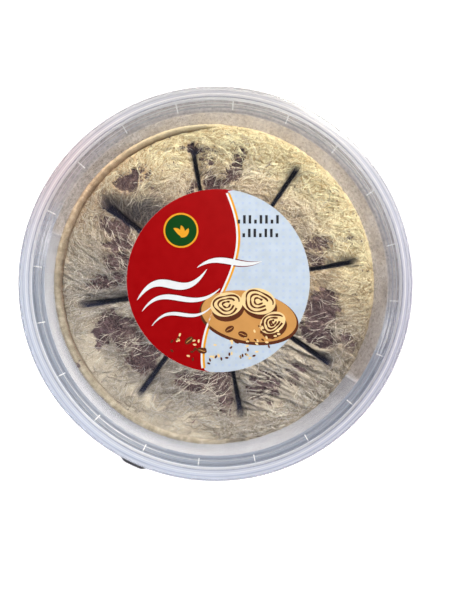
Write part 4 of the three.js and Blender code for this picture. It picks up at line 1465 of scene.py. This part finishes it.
def makeLidLabel():
    radius, (cx, cy) = lidPaper["radius"], lidPaper["centre"]
    low = panelTop + lidPaper["bottom"]
    high = low + lidPaper["thickness"]
    sheet = Sheet()

    def put(corners, ink, layer):
        sheet.lay(np.asarray(corners) + (cx, cy), high - 0.02, high + lidPaper["ink"] * layer, ink)

    sheet.lay(ellipse(cx, cy, radius, radius, steps=180), low, high, "white")
    inner = radius - 0.02
    put(ellipse(0, 0, inner, inner, steps=180), "red", 1)
    v = np.linspace(-inner, inner, 90)
    wave = lidPrint["waveAt"] + lidPrint["waveDepth"] * np.sin((v + 5) / inner * 2.4)
    inside = np.hypot(wave, v) < inner
    wave, v = wave[inside], v[inside]
    startAngle = math.degrees(math.atan2(v[-1], wave[-1]))
    endAngle = math.degrees(math.atan2(v[0], wave[0]))
    rim = arc(0, 0, inner, startAngle, endAngle, 60)
    put(list(zip(wave, v)) + rim[1:-1], "pale", 2)
    boundary = np.stack([wave, v], axis=-1)[np.hypot(wave, v) < inner - 0.5]
    line = lidPrint["line"]
    put(ribbon(boundary, np.full(len(boundary), line)), "gold", 3)
    put(ribbon(boundary - (line * 0.9, 0), np.full(len(boundary), line * 0.8)), "white", 4)

    for points, width in ribbons:
        put(swoosh(points, width + 0.7), "crimson", 3.5)
        put(swoosh(points, width), "white", 5)

    x, y, size = lidPrint["seal"]
    put(ellipse(x, y, size, size, steps=60), "gold", 3)
    put(ellipse(x, y, size * 0.9, size * 0.9, steps=60), "green", 4)
    for layer, turn in enumerate((-42, 42, 0)):
        leaf = swoosh([(0, -0.2), (0.7, 0.9), (0.6, 2.2), (0, 3.4)], 1.3)
        put(spin(leaf, turn) + (x, y - 1.9), "gold", 5 + layer)

    x, y, long, wide, turn = lidPrint["plate"]
    put(ellipse(x, y, long, wide, turn, 60), "brown", 3)
    put(ellipse(x, y + 0.5, long * 0.96, wide * 0.94, turn, 60), "tan", 4)
    for number, (x, y, turn, size) in enumerate(lidPrint["sweets"]):
        first = 5 + 5 * number
        put(ellipse(x + 0.5, y - 1.6, size, size * 0.72, turn, 40), "brown", first)
        put(ellipse(x, y, size, size * 0.74, turn, 40), "seed", first + 1)
        for ring, share in enumerate((0.78, 0.5, 0.24)):
            a = np.linspace(0.3 * ring, 0.3 * ring + 5.6, 40)
            wobble = size * share * (1 + 0.1 * np.sin(3 * a + number))
            band = spin(np.stack([wobble * np.cos(a), 0.74 * wobble * np.sin(a)], axis=-1), turn) + (x, y)
            put(ribbon(band, 0.3 + 0.35 * np.abs(np.sin(2 * a))), "brown", first + 2 + ring)
    for x, y, turn in lidPrint["beans"]:
        put(ellipse(x, y, 1.5, 0.9, turn, 24), "brown", 21)
        put(spin(swoosh([(-1.1, -0.1), (-0.4, 0.3), (0.4, -0.3), (1.1, 0.1)], 0.1), turn) + (x, y), "tan", 22)
    draws = np.random.default_rng(27)
    for _ in range(lidPrint["seeds"]):
        angle, r = draws.uniform(232, 322), draws.uniform(19, 26)
        x, y = r * math.cos(math.radians(angle)), r * math.sin(math.radians(angle))
        put(ellipse(x, y, 0.55, 0.3, draws.uniform(0, 180), 12), draws.choice(["seed", "brown"]), 20)
    for x, y, count in lidPrint["dashes"]:
        for k in range(count):
            tall = 2.6 if k % 3 else 1.2
            left = x + 1.7 * k
            put([(left, y), (left + 0.8, y), (left + 0.8, y + tall), (left, y + tall)], "grey", 5)
    return printed("lidLabel", sheet.points, sheet.faces, sheet.inks, 30)


lidLabel = makeLidLabel()
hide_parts("lid_label")
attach(lidLabel, "root")
lidLabel.visible_shadow = False  # in this soft light it would darken the halva round it


bandPrint = {
    "wave": (17.0, 2.6, 4.0),  # level, depth and how many waves go round the label
    "lines": [(-1.6, "white"), (-0.6, "gold"), (0.0, "white"), (0.7, "red")],  # off the wave, ink above
    "foot": "pale",          # ink below the wave
    "field": (24.0, 30.0, 35.0),  # heights that divide the red field into shorter faces
    "head": (39.2, "gold", 40.0, "red"),
}


def makeBandLabel():
    start, end = bandPaper["start"], bandPaper["end"]
    angles = np.linspace(start, end, 200)
    level, depth, waves = bandPrint["wave"]
    wave = level + depth * np.sin((angles - start) / (end - start) * 2 * math.pi * waves)
    line, lineInk, top, topInk = bandPrint["head"]
    rows = [(bandPaper["low"], bandPrint["foot"])]
    rows += [(wave + offset, ink) for offset, ink in bandPrint["lines"]]
    rows += [(z, "red") for z in bandPrint["field"]] + [(line, lineInk), (top, topInk)]
    inksAbove = [ink for _, ink in rows]
    levels = [np.broadcast_to(z, len(angles)) for z in [z for z, _ in rows] + [bandPaper["high"]]]
    near, far = bandPaper["gap"], bandPaper["gap"] + bandPaper["thickness"]
    section = [(z, far) for z in levels] + [(z, near) for z in levels[::-1]]
    points = []
    for i, a in enumerate(np.radians(angles)):
        for z, out in section:
            r = wallOuter(z[i]) + out
            points.append((r * math.cos(a), r * math.sin(a), z[i]))
    inkOfFace = (inksAbove + ["paper"] * (len(section) - len(inksAbove))) * (len(angles) - 1) + ["white"] * 2
    return printed("bandLabel", points, loftFaces(len(angles), len(section)), inkOfFace, 40)


bandLabel = makeBandLabel()
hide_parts("band_label")
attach(bandLabel, "root")
print("labels made")


# floor, lights and camera

studio = {
    "floor": paint(252, 252, 252),
    "floorGlow": 0.6,        # a lit table, so that the shadow stays faint
    "warmSky": (0.98, 0.93, 0.84, 1.0),
    "coolSky": (0.74, 0.82, 0.98, 1.0),
    "skyStrength": 0.66,
    "overhead": 0.05,        # the sky right above is dark, so that the lid mirrors little of it
    "overheadFrom": (0.84, 0.93),
    "warmTowards": (0.53, 0.85, 0),
    "key": (58, 52, 0.55, 0.22),  # azimuth, elevation, distance and size of the lamp
    "keyPower": 3.4,
    "keyColour": (1.0, 0.93, 0.80),
    "fill": (235, 35, 0.8, 0.6),
    "fillPower": 0.6,
    "fillColour": (0.86, 0.92, 1.0),
}

view = {
    "lens": 27.04,           # millimetres
    "sensor": 36,            # its long side, along the height of the frame
    "place": (2.8, -4.9, 186.0),
}

floorMesh = bpy.data.meshes.new("floor")
reach, below = 2, -0.00005   # metres; just below the foot, so that the two don't share a plane
corners = [(-reach, -reach, below), (reach, -reach, below), (reach, reach, below), (-reach, reach, below)]
floorMesh.from_pydata(corners, [], [[0, 1, 2, 3]])
floor = bpy.data.objects.new("floor", floorMesh)
scene.collection.objects.link(floor)
floorFinish, floorTree = newMaterial("floorPale")
show(floorTree, add(floorTree, "BsdfPrincipled", {
    "Base Color": studio["floor"],
    "Roughness": 0.8,
    "Emission Color": (1.0, 1.0, 1.0, 1.0),
    "Emission Strength": studio["floorGlow"],
}))
floorMesh.materials.append(floorFinish)

world = bpy.data.worlds.new("studio")
scene.world = world
world.use_nodes = True
skyTree = world.node_tree
skyTree.nodes.clear()
direction = add(skyTree, "TexCoord").outputs["Generated"]
height = add(skyTree, "SeparateXYZ", {0: direction}).outputs["Z"]
shareAbove = ramp(skyTree, height, *studio["overheadFrom"], 1.0, studio["overhead"])
keySide = vectors(skyTree, "DOT_PRODUCT", direction, studio["warmTowards"], output="Value")
glow = add(skyTree, "Background", {
    "Color": mixColour(skyTree, ramp(skyTree, keySide, -0.7, 0.7), studio["coolSky"], studio["warmSky"]),
    "Strength": times(skyTree, shareAbove, studio["skyStrength"]),
})
backdrop = add(skyTree, "Background", {"Color": studio["floor"], "Strength": 1.0})
seen = add(skyTree, "LightPath").outputs["Is Camera Ray"]
sky = mixShaders(skyTree, seen, glow, backdrop)
skyTree.links.new(sky.outputs[0], add(skyTree, "OutputWorld").inputs["Surface"])


def softLight(name, azimuth, elevation, distance, size, power, colour):
    lamp = bpy.data.lights.new(name, "AREA")
    lamp.shape = "DISK"
    lamp.size = size
    lamp.energy = power
    lamp.color = colour
    holder = bpy.data.objects.new(name, lamp)
    a, e = math.radians(azimuth), math.radians(elevation)
    where = Vector((math.cos(a) * math.cos(e), math.sin(a) * math.cos(e), math.sin(e))) * distance
    holder.location = where
    holder.rotation_euler = (-where).to_track_quat("-Z", "Y").to_euler()
    scene.collection.objects.link(holder)


softLight("keyLight", *studio["key"], studio["keyPower"], studio["keyColour"])
softLight("fillLight", *studio["fill"], studio["fillPower"], studio["fillColour"])

cameraData = bpy.data.cameras.new("camera")
cameraData.sensor_width = view["sensor"]
cameraData.lens = view["lens"]
cameraData.clip_start = 0.01
camera = bpy.data.objects.new("camera", cameraData)
camera.location = Vector(view["place"]) * mm
camera.rotation_euler = (0, 0, 0)  # straight down
scene.collection.objects.link(camera)
scene.camera = camera
print("studio made")
